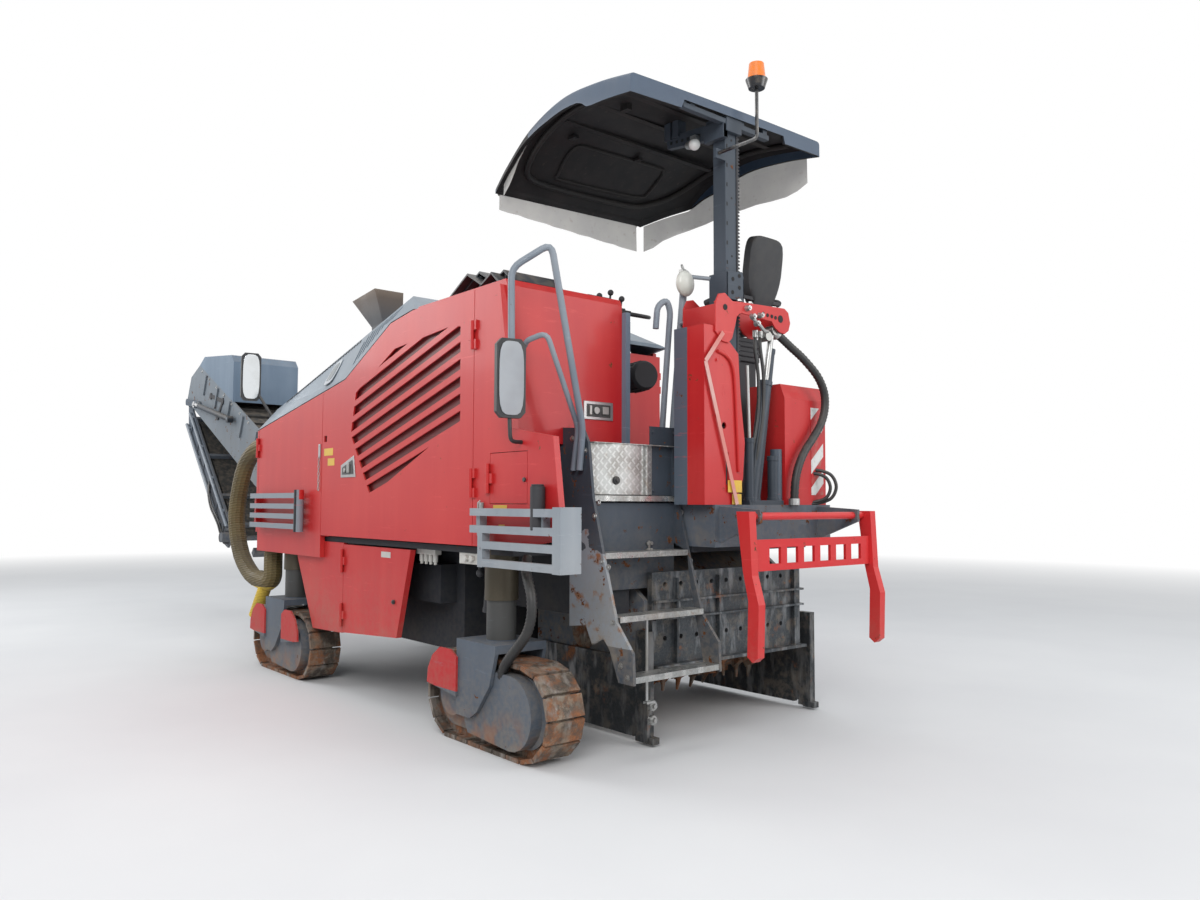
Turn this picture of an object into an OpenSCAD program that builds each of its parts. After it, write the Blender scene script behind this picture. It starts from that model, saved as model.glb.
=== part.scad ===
// Cold planer: a compact road milling machine on four steered tracks.
// X runs forward to the folded belt, Y to the left, Z up. The floor is Z = 0.

/* [Machine] */
// Place of the left rear track's leg along the length
rear_x = -3910; // [-4200:10:-3700]
// Shift of the machine's middle line to the left
middle_y = -35; // [-150:5:150]
// Distance from the left rear leg to the front legs
wheelbase = 3250; // [3200:10:3400]
// Distance from the middle line to the outside of the doors
side_y = 1240; // [1225:5:1300]
// Thickness of the doors and side panels
panel_t = 40; // [20:1:50]
// Gap round a door
door_gap = 6; // [5:1:8]
// Height of the underside of the deck plate
deck_z = 1180; // [1170:5:1200]
// Thickness of the deck plate
deck_t = 40; // [20:1:45]
// Height of the underside of the hull
hull_z = 450; // [380:10:560]
// Height of the top of the operator's floor
floor_z = 1870; // [1800:10:1950]

/* [Tracks] */
// Length of a track over its shoes
track_len = 1330; // [1200:10:1360]
// Height of a track over its shoes
track_h = 560; // [500:10:600]
// Width of a shoe
track_w = 260; // [220:5:270]
// Number of shoes on a track
shoe_count = 23; // [19:1:24]
// Thickness of a shoe
shoe_t = 26; // [18:1:34]
// Distance from the middle line to the legs
leg_y = 1086; // [1070:2:1090]
// Radius of the leg column that carries a track
column_r = 92; // [70:1:95]
// Wall of the tube that guides a leg column
tube_wall = 13; // [8:1:15]
// Height of the lower end of the guide tubes
tube_z = 900; // [820:10:1000]
// Distance from the left rear leg forward to the swung-in right rear leg
swing_x = 1420; // [1400:10:1460]

/* [Milling drum] */
// Place of the drum's axis ahead of the left rear leg
drum_x = 100; // [80:5:120]
// Height of the drum's axis
drum_z = 640; // [620:5:650]
// Radius of the bare drum
drum_r = 385; // [340:5:400]
// Radius over the tips of the tools
tool_r = 490; // [470:5:495]
// Cutting width
cut_w = 1480; // [1440:5:1490]
// Place of the right end of the drum
drum_right = -1190; // [-1200:5:-1180]
// Radius of the drum's bearing journals
journal_r = 130; // [90:5:150]
// Wall of the drum box
box_wall = 35; // [20:1:40]
// Number of tool rows round the drum
tool_rows = 12; // [8:1:14]
// Number of tools in one row
tools_in_row = 7; // [5:1:9]

/* [Belt] */
// Place of the slewing pin ahead of the left rear leg
slew_x = 4600; // [4560:10:4700]
// Height of the lifting pin
lift_z = 1300; // [1290:5:1330]
// Slope of the belt frame as it parks
belt_slope = 24; // [20:1:28]
// Length of the lower belt frame from its lifting pin
lower_len = 4650; // [4400:10:4800]
// Length of the folding belt frame
upper_len = 2650; // [2300:10:2750]
// Half width over the lower belt frame
belt_side = 420; // [400:5:440]
// Thickness of the belt frame's walls
belt_wall = 25; // [15:1:28]
// Angle by which the folding frame is turned under the lower one
fold_angle = 161; // [155:1:165]
// Width of the belt
belt_w = 600; // [450:10:640]

/* [Canopy] */
// Height of the canopy's rim
canopy_z = 3880; // [3780:10:3950]
// Length of the canopy
canopy_len = 1690; // [1640:10:1760]
// Width of the canopy
canopy_w = 1780; // [1600:10:1900]
// Side of the square canopy mast
mast_side = 110; // [90:5:120]

/* [Hidden] */
$fn = 48;

fit = 0.3;
eps = 0.02;
red = "#c8202a";
steel = "#4b5763";
dark = "#2b3036";
pale = "#9aa3aa";

// Everything below is drawn from the foot of the left rear leg's line
module rig() {
    translate([rear_x, middle_y, 0]) children();
}

// A plate whose outline lies in X and Z, from y0 to y1
module plate_xz(points, y0, y1) {
    translate([0, y1, 0]) rotate([90, 0, 0]) linear_extrude(y1 - y0) polygon(points);
}

// A plate whose outline lies in Y and Z, from x0 to x1
module plate_yz(points, x0, x1) {
    translate([x0, 0, 0]) rotate([90, 0, 90]) linear_extrude(x1 - x0) polygon(points);
}

// A box from its lowest to its highest corner
module block(low, high) {
    translate(low) cube(high - low);
}

// A round bar from a to b
module bar(a, b, r) {
    d = b - a;
    translate(a) rotate([0, acos(d.z / norm(d)), atan2(d.y, d.x)]) cylinder(h = norm(d), r = r);
}

// A bent tube along a list of points, rounded at its bends
module bent_bar(points, r) {
    hose(rounded(points, 3.2 * r, 4), r, 12);
}

// A flat link with round ends between two points of the XZ plane, from y0 to y1
module link(a, b, r, y0, y1) {
    side = 0.96 * r * [a.y - b.y, b.x - a.x] / norm(b - a);
    translate([0, y1, 0]) rotate([90, 0, 0]) linear_extrude(y1 - y0) {
        translate(a) circle(r = r);
        translate(b) circle(r = r);
        polygon([a + side, a - side, b - side, b + side]);
    }
}

// A bar along Y
module axle(x, z, y0, y1, r) {
    translate([x, y1, z]) rotate([90, 0, 0]) cylinder(h = y1 - y0, r = r);
}

// Smooth curve through hand-chosen points
function curve_at(p, i, t) = let (
        n = len(p) - 1,
        a = p[max(i - 1, 0)], b = p[i], c = p[min(i + 1, n)], d = p[min(i + 2, n)])
    0.5 * (2 * b + (c - a) * t + (2 * a - 5 * b + 4 * c - d) * t * t
        + (3 * b - a - 3 * c + d) * t * t * t);
function curve(p, steps) = [for (i = [0:len(p) - 2]) for (k = [0:steps - 1]) curve_at(p, i, k / steps),
    p[len(p) - 1]];
function unit(v) = v / norm(v);
function heading(p, i) = unit(p[min(i + 1, len(p) - 1)] - p[max(i - 1, 0)]);
function side_of(p, i) = i == 0 ? unit(cross(heading(p, 0), [0.3, 0.5, 0.8])) :
    let (s = side_of(p, i - 1), h = heading(p, i)) unit(s - (s * h) * h);
// Corners of a path rounded over a distance d on both sides, in n steps
function rounded(p, d, n) = [p[0],
    for (i = [1:len(p) - 2]) let (
            u = p[i - 1] - p[i],
            v = p[i + 1] - p[i],
            e = min(d, 0.45 * norm(u), 0.45 * norm(v)),
            a = p[i] + e * unit(u),
            b = p[i] + e * unit(v))
        for (k = [0:n]) let (t = k / n) (1 - t) * (1 - t) * a + 2 * t * (1 - t) * p[i] + t * t * b,
    p[len(p) - 1]];

// A hose: rings of points swept along a path
module hose(path, r, sides = 8) {
    rings = [for (i = [0:len(path) - 1]) let (
            s = side_of(path, i),
            u = cross(heading(path, i), s))
        for (k = [0:sides - 1]) path[i] + r * (cos(360 * k / sides) * s + sin(360 * k / sides) * u)];
    skin(rings, len(path), sides, [[for (k = [0:sides - 1]) k]]);
}

// Closed skin over n rings of m points each, ring after ring, with the faces that close an end;
// the strips named in turned have their diagonals the other way
module skin(points, n, m, caps, turned = []) {
    polyhedron(points, concat(
        caps,
        [for (i = [0:n - 2]) for (k = [0:m - 1]) let (a = i * m + k, b = i * m + (k + 1) % m)
            each len(search(k, turned)) > 0 ? [[a, a + m, b], [a + m, b + m, b]]
                : [[a, a + m, b + m], [a, b + m, b]]],
        [for (c = caps) [for (k = [len(c) - 1:-1:0]) (n - 1) * m + c[k]]]));
}

// Sizes that follow from the driving ones
deck_top = deck_z + deck_t;
hood_front = wheelbase + 610;
hood_rear = -200;
tower_y = 270;
step_x = 1000;
skirt_z = deck_top + 10;
tower_top = 2865;
seam_x = 106;
front_seam = 2390;
tube_r = column_r + fit + tube_wall;
door_in = side_y - panel_t;
hinge_r = 12;
hinge_y = side_y + hinge_r + 4;

// Top edge of the side doors and of the hood's shoulder: [x, edge z, roof z, half roof width]
sheet = 30;
roof_half = 1060;
roof_rear = [1230, 3020];
roof_front = [3860, 2380];
function on_roof(x) = roof_rear[1] + (x - roof_rear.x) * (roof_front[1] - roof_rear[1]) / (roof_front.x - roof_rear.x);
hood_line = [
    [900, 2845, 2865, 1140],
    [roof_rear.x, 2800, roof_rear[1], roof_half],
    [1980, 2465, on_roof(1980), roof_half],
    [roof_front.x, 2170, roof_front[1], roof_half]
];
function edge_z(x) = lookup(x, [[-250, 2850], for (s = hood_line) [s[0], s[1]]]);

// Tracks
end_r = track_h / 2;
run = track_len - track_h;
shoe_r = end_r - shoe_t / 2;
shoe_arc = PI * shoe_r;
shoe_pitch = 2 * (run + shoe_arc) / shoe_count;
shoe_gap = 14;
shoe_dip = norm([end_r, (shoe_pitch - shoe_gap) / 2]) - end_r;
bend_r = shoe_r - shoe_dip;
link_t = 48;
function on_loop(s) =
    s < run ? [s - run / 2, -shoe_r, 0] :
    s < run + shoe_arc ? let (t = (s - run) / shoe_arc * 180)
        [run / 2 + bend_r * sin(t), -bend_r * cos(t), t] :
    s < 2 * run + shoe_arc ? [run / 2 - (s - run - shoe_arc), shoe_r, 180] :
    let (t = (s - 2 * run - shoe_arc) / shoe_arc * 180)
        [-run / 2 - bend_r * sin(t), bend_r * cos(t), 180 + t];

module stadium(r) {
    translate([-run / 2, 0]) circle(r = r);
    translate([run / 2, 0]) circle(r = r);
    square([run, 2 * r], center = true);
}

module track_loop() {
    color("#6a5a4c") translate([0, 0, end_r]) rotate([90, 0, 0]) {
        linear_extrude(track_w, center = true)
            for (i = [0:shoe_count - 1]) let (p = on_loop((i + 0.5) * shoe_pitch))
                translate([p[0], p[1]]) rotate(p[2]) square([shoe_pitch - shoe_gap, shoe_t], center = true);
        linear_extrude(track_w * 0.5, center = true) difference() {
            stadium(end_r - shoe_t + 4);
            stadium(end_r - shoe_t - link_t);
        }
    }
}

// The frame inside a loop, its covers, yoke, column and mudguards; out is 1 where left is outside
guard_x = 300;
yoke_half = 215;
yoke_top = track_h + 95;
module track_frame(out, guards) {
    inner_r = end_r - shoe_t - link_t - fit;
    face = track_w / 2;
    color(steel) {
        translate([0, 0, end_r]) rotate([90, 0, 0]) linear_extrude(track_w * 0.62, center = true) {
            hull() for (s = [-1, 1]) translate([s * run / 2, 0]) circle(r = inner_r);
        }
        scale([1, out, 1]) {
            plate_xz([for (a = [90:15:270]) [-run / 2 + 60 + 215 * cos(a), end_r + 215 * sin(a)],
                [120, end_r - 190], [160, end_r - 120], [160, end_r + 90], [60, end_r + 215]],
                track_w * 0.31 - eps, face + 30);
            axle(run / 2 - 30, end_r, track_w * 0.31 - eps, face + 6, 130);
            axle(yoke_half - 60, end_r - 20, 0, face + 52, 42);
        }
        for (s = [-1, 1]) scale([1, s, 1]) plate_xz([
            [-yoke_half, yoke_top - 50], [-yoke_half + 60, end_r + 130], [-20, end_r - 40],
            [60, end_r - 90], [yoke_half, end_r - 90], [yoke_half, yoke_top - 50]],
            face + 34, face + 34 + 24);
        block([-yoke_half, -face - 58, yoke_top - 50], [yoke_half, face + 58, yoke_top]);
        translate([0, 0, yoke_top - eps]) cylinder(h = tube_z + 300 - yoke_top, r = column_r);
        axle(yoke_half - 60, end_r - 20, -face - 40, face + 40, 42);
    }
    color(red) for (s = guards) scale([s, out, 1]) {
        plate_xz([[yoke_half - 20, end_r + 20], [yoke_half - 20, track_h - 20], [yoke_half + 50, track_h + 20],
            [yoke_half + 180, track_h + 20], [yoke_half + 270, track_h - 40], [yoke_half + 325, end_r + 150],
            [yoke_half + 335, end_r + 60]], face + 58 - eps, face + 74);
    }
}

module at_leg(x, y) {
    rig() translate([x, y, 0]) children();
}

module loop_front_left() at_leg(wheelbase, leg_y) track_loop();
module loop_front_right() at_leg(wheelbase, -leg_y) track_loop();
module loop_rear_left() at_leg(0, leg_y) track_loop();
module loop_rear_right() at_leg(swing_x, -leg_y) track_loop();
module track_front_left() at_leg(wheelbase, leg_y) track_frame(1, [1, -1]);
module track_front_right() at_leg(wheelbase, -leg_y) track_frame(-1, [1, -1]);
module track_rear_left() at_leg(0, leg_y) track_frame(1, [1]);
module track_rear_right() at_leg(swing_x, -leg_y) track_frame(-1, [1]);

legs = [[0, leg_y], [swing_x, -leg_y], [wheelbase, leg_y], [wheelbase, -leg_y]];
tube_top = deck_top + 380;
module leg_tubes() {
    color("#5c5646") rig() for (p = legs) translate([p.x, p.y, tube_z]) difference() {
        cylinder(h = tube_top - tube_z, r = tube_r);
        translate([0, 0, -1]) cylinder(h = tube_top - tube_z + 2, r = column_r + fit);
    }
}

// Chassis: hull between the tracks, deck plate, left rear beam and the fork that carries the belt
hull_left = 860;
hull_right = -700;
nose_half = 620;
fork_half = 260;
fork_t = 50;
fork_low = 780;
slew_r = 60;
deck_rear = -270;
lash_z = 900;
lash_r = 25;
module chassis() {
    color(dark) rig() difference() {
        union() {
            block([790, hull_right, hull_z], [2480, hull_left, deck_z + eps]);
            block([900, hull_left - eps, 790], [1700, hull_left + 130, 1060]);
            block([2480 - eps, -nose_half, 700], [hood_front, nose_half, deck_z + eps]);
            block([-440, 420, 800], [790 + eps, 700, deck_z + eps]);
            block([deck_rear, 12 - door_in, deck_z], [hood_front, door_in - 12, deck_top]);
            block([-590, 12 - door_in, deck_z], [deck_rear + eps, 0, deck_top]);
            for (z = [fork_low, deck_z - fork_t]) translate([0, 0, z]) linear_extrude(fork_t) {
                polygon([[hood_front - eps, -fork_half - 60], [slew_x, -slew_r - 70],
                    [slew_x, slew_r + 70], [hood_front - eps, fork_half + 60]]);
                translate([slew_x, 0]) circle(r = slew_r + 70);
            }
            block([hood_front - 200, -fork_half - 60, fork_low], [hood_front + 120, fork_half + 60, deck_z]);
            for (s = [-1, 1]) scale([1, s, 1])
                link([hood_front + 90, lash_z], [hood_front + 170, lash_z], 50, fork_half + 30, fork_half + 60);
        }
        axle(hood_front + 170, lash_z, -fork_half - 61, -fork_half - 29, lash_r);
        axle(hood_front + 170, lash_z, fork_half + 29, fork_half + 61, lash_r);
        for (z = [fork_low, deck_z - fork_t]) translate([slew_x, 0, z - 1])
            cylinder(h = fork_t + 2, r = slew_r);
        for (p = legs) translate([p.x, p.y, deck_z - 1]) cylinder(h = deck_t + 2, r = tube_r + fit);
        // hollow of the hull, open to the deck's underside through the belt tunnel
        block([830, hull_right + 30, hull_z + 30], [2440, hull_left - 30, deck_z - 30]);
    }
}

module engine() {
    color(dark) rig() block([1500, -480, deck_top], [2900, 420, deck_top + 880]);
}

// Drum box: two end walls with bearing bores, an arch over the drum and a front apron
box_left = drum_right + cut_w + 15;
box_right = drum_right - 10;
arch_in = tool_r + 22;
arch_out = arch_in + 18;
box_rear = drum_x - arch_out - 65;
box_front = drum_x + arch_out;
module drum_box() {
    color(steel) rig() difference() {
        union() {
            for (y = [box_left, box_right - box_wall]) plate_xz([
                [box_rear, 560], [box_rear, 880], [drum_x - 300, 1100], [drum_x - 200, drum_z + arch_out],
                [drum_x + 250, drum_z + arch_out], [box_front, 1000], [box_front, 380],
                [drum_x + 150, 300], [drum_x - 150, 300]], y, y + box_wall);
            difference() {
                axle(drum_x, drum_z, box_right - eps, box_left + eps, arch_out);
                axle(drum_x, drum_z, box_right - 1, box_left + 1, arch_in);
                block([drum_x - 600, box_right - 1, 0], [drum_x + 600, box_left + 1, drum_z + 60]);
            }
            block([box_front - 18, box_right - eps, 420], [box_front, box_left + eps, drum_z + 90]);
        }
        axle(drum_x, drum_z, box_right - box_wall - 1, box_left + box_wall + 1, journal_r + fit);
    }
    // saddle between the drum box and the deck
    color(steel) rig() block([drum_x - 200, box_right, drum_z + arch_out - eps], [drum_x + 200, box_left, deck_z]);
}

module drum() {
    color("#5b4a3e") rig() {
        difference() {
            union() {
                axle(drum_x, drum_z, drum_right, drum_right + cut_w, drum_r);
                axle(drum_x, drum_z, drum_right - 10 - box_wall, drum_right + cut_w + 15 + box_wall, journal_r);
            }
            axle(drum_x, drum_z, drum_right - 1, drum_right + 500, drum_r - 60);
        }
        for (row = [0:tool_rows - 1]) for (k = [0:tools_in_row - 1]) {
            turn = 360 * row / tool_rows + 9 * k;
            y = drum_right + cut_w * (k + 0.5 + 0.5 * (row % 2) - 0.25) / tools_in_row;
            translate([drum_x, y, drum_z]) rotate([0, turn, 0]) translate([drum_r - 15, 0, 0]) {
                translate([0, -28, -45]) cube([55, 56, 90]);
                translate([20, 0, 5]) rotate([0, 52, 0])
                    cylinder(h = tool_r - drum_r + 20, r1 = 26, r2 = 9);
            }
        }
    }
}

// Side plates that slide in Z beside the drum box
plate_t = 35;
plate_foot = 35;
module side_plate(y0, out) {
    rig() {
        plate_xz([[box_rear + 20, plate_foot + 40], [box_rear + 60, plate_foot], [box_front - 40, plate_foot],
            [box_front + 60, plate_foot + 110], [box_front + 50, 430], [box_front - 60, 520],
            [box_rear + 20, 520]], y0, y0 + plate_t);
        block([box_rear - 90, y0 - 10 * (1 - out), plate_foot - 15],
            [box_rear + 20 + eps, y0 + plate_t + 10 * (1 + out), 700]);
        block([box_rear - 130, y0 - 10, plate_foot - 20], [box_rear - 30, y0 + plate_t + 10, plate_foot + 20]);
    }
}
module side_plate_left() {
    color(steel) {
        side_plate(box_left + box_wall + fit, 1);
    }
}
module side_plate_right() {
    color(steel) side_plate(box_right - box_wall - fit - plate_t, -1);
}

// Scraper behind the drum: a ribbed plate with a wear lip
scraper_x = box_rear - fit;
scraper_t = 40;
scraper_low = 480;
scraper_high = 1060;
module scraper() {
    color(steel) rig() {
        difference() {
            block([scraper_x - scraper_t, drum_right + 5, scraper_low], [scraper_x, box_left + 5, scraper_high]);
            for (i = [0:9]) for (z = [640, 980]) axle_x(scraper_x - scraper_t - 1, scraper_x + 1,
                drum_right + 80 + i * 145, z, 16);
        }
        block([scraper_x - 100, drum_right + 5, scraper_low - 20], [scraper_x - 20, box_left + 5, scraper_low + eps]);
        for (z = [760, 870]) block([scraper_x - 78, drum_right + 5, z],
            [scraper_x - scraper_t + eps, box_left + 5, z + 14]);
        for (y = [-1100, -700, -300, 100]) block([scraper_x - 70, y, scraper_low],
            [scraper_x - scraper_t + eps, y + 14, scraper_high - 40]);
    }
}

// A bar along X
module axle_x(x0, x1, y, z, r) {
    translate([x0, y, z]) rotate([0, 90, 0]) cylinder(h = x1 - x0, r = r);
}

// Hinge barrels of a door: the door holds the middle one, the body the two outer ones
knuckle = 60;
module hinge_mid(x, s, z, reach) {
    translate([x, s * hinge_y, z - knuckle / 2]) cylinder(h = knuckle, r = hinge_r);
    scale([1, s, 1]) block([min(x + sign(reach) * 3.5, x + reach), side_y - eps, z - knuckle / 2],
        [max(x + sign(reach) * 3.5, x + reach), hinge_y, z + knuckle / 2]);
}
module hinge_ends(x, s, z, reach) {
    for (d = [-knuckle - fit, knuckle + fit]) {
        translate([x, s * hinge_y, z + d - knuckle / 2]) cylinder(h = knuckle, r = hinge_r);
        scale([1, s, 1]) block([min(x, x + reach), side_y - eps, z + d - knuckle / 2],
            [max(x, x + reach), hinge_y, z + d + knuckle / 2]);
    }
}

// Hood: tower at the left rear, bulkhead, front wall and the posts that the doors close on
module hood() {
    front_edge = edge_z(hood_front) - 8;
    front_roof = roof_front[1] - sheet - fit;
    color(red) rig() {
        // tower: rear wall with a chamfered corner, left post and roof
        plate_xz([[seam_x - 6, skirt_z + 705], [seam_x - 6, edge_z(seam_x) - 8], [hood_rear + 20, tower_top - 40],
            [hood_rear - 130, skirt_z + 705]], door_in, side_y);
        block([hood_rear, tower_y, floor_z], [hood_rear + 40, door_in, tower_top - 40]);
        plate_xz([[hood_rear, tower_top - 40], [hood_rear + 20, tower_top], [899, tower_top],
            [899, tower_top - 40]], tower_y, door_in - fit);
        // front wall with the mouth of the feed belt
        difference() {
            plate_yz([[side_y, deck_top], [side_y, front_edge], [side_y - sheet, front_edge],
                [roof_half, front_roof], [-roof_half, front_roof], [sheet - side_y, front_edge],
                [-side_y, front_edge], [-side_y, deck_top]], hood_front - 40, hood_front);
            block([hood_front - 41, -380, 1400], [hood_front + 1, 380, 1950]);
        }
        // bulkhead at the operator's floor
        block([step_x, -side_y, deck_top], [step_x + 40, tower_y, 2780]);
        // door posts behind the seams between the doors
        for (s = [-1, 1]) scale([1, s, 1])
            block([front_seam - 60, door_in - 40, deck_top], [front_seam + 60, door_in - fit, edge_z(front_seam) - 60]);
        hinge_ends(seam_x - 3, 1, 2550, -40);
        for (z = [1400, 2000]) for (s = [-1, 1]) hinge_ends(hood_front - 43, s, z, 40);
        for (z = [1620, 2550]) hinge_ends(step_x + 43, -1, z, -40);
    }
}

// Blue-grey wall of the tower towards the operator
module inner_wall() {
    color(steel) rig() {
        block([hood_rear + 40, tower_y, deck_top], [step_x, tower_y + 30, tower_top - 40]);
        block([hood_rear - 40, tower_y - 40, floor_z], [hood_rear + 40, tower_y, tower_top - 90]);
    }
}

// Roof and shoulders of the hood as one folded sheet, with slots in its shoulders
slot_x = 1290;
slot_w = 40;
slot_pitch = 78;
slot_count = 9;
function shoulder(s) = let (z = s[1], r = s[2], h = s[3]) [
    [side_y, z], [h, r], [-h, r], [-side_y, z],
    [-side_y + sheet, z], [-h, r - sheet], [h, r - sheet], [side_y - sheet, z]];
module hood_top() {
    rings = [for (s = hood_line) for (p = shoulder(s)) [min(s[0], hood_front), p[0], p[1]]];
    color("#5f7080") rig() difference() {
        skin(rings, len(hood_line), 8, [[0, 1, 6, 7], [1, 2, 5, 6], [2, 3, 4, 5]], [2, 6]);
        for (s = [-1, 1]) scale([1, s, 1]) for (i = [0:slot_count - 1])
            block([slot_x + i * slot_pitch, roof_half + 35, edge_z(hood_front)],
                [slot_x + i * slot_pitch + slot_w, side_y - 45, roof_rear[1] + 80]);
    }
}

// Side doors; louvre slots rise to the rear
louvre_edge = [[1780, 2340], [1860, 2020], [1510, 1540], [262, 2020], [270, 2630], [380, 2650], [1160, 2600]];
louvre_pitch = 112;
louvre_open = 66;
louvre_rise = 15;
module louvre_slots(from_x) {
    intersection() {
        intersection() {
            polygon(louvre_edge);
            translate([from_x, 1000]) square([3000, 3000]);
        }
        for (i = [0:13]) translate([0, 1640 + i * louvre_pitch]) rotate(-louvre_rise)
            translate([-900, 0]) square([3600, louvre_open]);
    }
}
module louvre_door(x0, s) {
    scale([1, s, 1]) difference() {
        plate_xz([[x0, skirt_z], [x0, edge_z(x0) - 8], if (x0 < 900) [900, edge_z(900) - 8],
            [1230, edge_z(1230) - 8], [1980, edge_z(1980) - 8],
            [front_seam - door_gap / 2, edge_z(front_seam) - 8], [front_seam - door_gap / 2, skirt_z]],
            door_in, side_y);
        translate([0, side_y + 1, 0]) rotate([90, 0, 0]) linear_extrude(panel_t * 0.7)
            louvre_slots(x0 + 120);
        block([front_seam - 90, side_y - 20, 1985], [front_seam - 40, side_y + 1, 2035]);
    }
}
module louvre_door_left() {
    color(red) rig() {
        louvre_door(seam_x, 1);
        for (z = [1620, 2550]) hinge_mid(seam_x - 3, 1, z, 45);
    }
}
module louvre_door_right() {
    color(red) rig() {
        louvre_door(step_x + 46, -1);
        for (z = [1620, 2550]) hinge_mid(step_x + 43, -1, z, 45);
    }
}
bumper_out = 50;
module bumper_rails(x0, x1, heights, s) {
    for (z = heights) scale([1, s, 1]) block([x0, side_y + bumper_out, z], [x1, side_y + bumper_out + 35, z + 45]);
    scale([1, s, 1]) block([x1 - 60, side_y - eps, min(heights)], [x1 - 20, side_y + bumper_out + eps, max(heights) + 45]);
}
module front_door(s) {
    low = 1050;
    scale([1, s, 1]) plate_xz([[front_seam + door_gap / 2, low], [front_seam + door_gap / 2, edge_z(front_seam) - 8],
        [hood_front - 46, edge_z(hood_front - 46) - 8], [hood_front - 46, low]], door_in, side_y);
    for (z = [1400, 2000]) hinge_mid(hood_front - 43, s, z, -45);
    bumper_rails(front_seam + 300, hood_front - 80, [1270, 1355, 1440, 1530], s);
    scale([1, s, 1]) translate([front_seam + 290, side_y + bumper_out + 18, 1250]) cylinder(h = 350, r = 40);
}
module front_door_left() {
    color(red) rig() front_door(1);
}
module front_door_right() {
    color(red) rig() front_door(-1);
}

// Lower red side sheets
fender_out = door_in - 2;
fender_in = fender_out - panel_t;
module fender(s, back) {
    scale([1, s, 1]) plate_xz([[back, 480], [2600, 460], [2950, 1030], [2950, deck_z - fit], [back, deck_z - fit]],
        fender_in, fender_out);
}
low_seam = 2040;
module fender_left() {
    color(red) rig() {
        fender(1, low_seam);
        translate([0, fender_out - side_y, 0]) for (z = [620, 1040]) hinge_ends(low_seam - 3, 1, z, 40);
    }
}
module fender_right() {
    color(red) rig() fender(-1, 2200);
}
module lower_door() {
    color(red) rig() {
        plate_xz([[low_seam - door_gap, 485], [1150, 540], [960, deck_z - 12], [low_seam - door_gap, deck_z - 12]],
            fender_in, fender_out);
        translate([0, fender_out - side_y, 0]) for (z = [620, 1040]) hinge_mid(low_seam - 3, 1, z, -45);
    }
}

// Rear quarter panel with the small door's opening
quarter = [[seam_x - 6, skirt_z], [deck_rear, skirt_z], [-770, 1290], [-790, 1400], [-720, 1870], [-330, skirt_z + 705],
    [seam_x - 6, skirt_z + 705]];
small_x0 = -480;
small_x1 = -90;
small_z0 = 1490;
small_z1 = 1800;
module rear_panel() {
    color(red) rig() {
        difference() {
            plate_xz(quarter, door_in, side_y);
            block([small_x0, door_in - 1, small_z0], [small_x1, side_y + 1, small_z1]);
        }
        hinge_ends(small_x1 + 3, 1, (small_z0 + small_z1) / 2, 40);
        block([deck_rear, door_in - 40, deck_top], [-tube_r - 10, door_in, deck_top + 60]);
        hinge_ends(seam_x - 3, 1, 1620, -40);
    }
}
module small_door() {
    color(red) rig() {
        block([small_x0 + 4, door_in, small_z0 + 4], [small_x1 - 4, side_y, small_z1 - 4]);
        hinge_mid(small_x1 + 3, 1, (small_z0 + small_z1) / 2, -45);
    }
}
module bumper_rear_left() {
    color(pale) rig() {
        for (z = [1420, 1318]) block([-830, side_y + bumper_out, z], [0, side_y + bumper_out + 35, z + 45]);
        for (z = [1225, 1120]) block([-830, side_y + bumper_out, z], [-90, side_y + bumper_out + 35, z + 45]);
        block([-900, side_y - 60, 1115], [-829, side_y + bumper_out + 35, 1475]);
        for (x = [-700, -60]) block([x, side_y, 1330], [x + 40, side_y + bumper_out, 1450]);
        block([-140, side_y + bumper_out - 20, 1115], [-90, side_y + bumper_out + 35, 1330]);
        block([-829, side_y - 60, 1330], [-760, side_y - 40 - eps, 1440]);
    }
}

// Operator's floor on its box, the top step and the low wall on the right
step_y0 = 50;
step_y1 = 750;
module platform() {
    color("#7b858c") rig() {
        block([-440, -side_y + 30, floor_z - 30], [step_x - fit, tower_y - 40 - fit, floor_z]);
        block([-440, -side_y + 30, deck_top], [-410, -40, floor_z - 30 + eps]);
        block([step_x - 40, -side_y + 30, deck_top], [step_x - fit, tower_y - 50, floor_z - 30 + eps]);
        block([-440, -side_y + 30, deck_top], [step_x - fit, -side_y + 60, floor_z + 130]);
        block([-295, tower_y - 80, deck_top], [step_x - fit, tower_y - 50, floor_z - 30 + eps]);
        block([-440, tower_y - 50, floor_z - 30], [hood_rear - 42, step_y1 - 1, floor_z]);
        block([-430, 230, 1545], [-400, step_y1 - 1, floor_z - 30 + eps]);
    }
}

// Ladder: two stringers, back plate and the hung bottom step's plates
step_x_list = [-300, -400, -615];
module ladder() {
    color(steel) rig() {
        plate_xz([[hood_rear - 5, 1975], [-400, 1960], [-455, 1870], [-500, 1530], [-600, 1180], [-720, 800], [-860, 640],
            [-870, 460], [-740, 460], [-660, 640], [-600, 700], [-500, 650], [-440, 760], [-280, 740],
            [-280, 1270], [-60, 1480], [-60, 1860], [hood_rear - 5, 1860]], step_y1, step_y1 + 20);
        plate_xz([[-245, 1990], [-330, 1990], [-455, 1870], [-500, 1530], [-600, 1180], [-720, 800], [-860, 640],
            [-870, 460], [-740, 460], [-700, 640], [-665, 780], [-605, 1060], [-592, 1190], [-445, 1250], [-445, 1875],
            [-245, 1875]], step_y0 - 20, step_y0);
        block([-470, step_y0, 960], [-450, step_y1, 1500]);
    }
}

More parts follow.
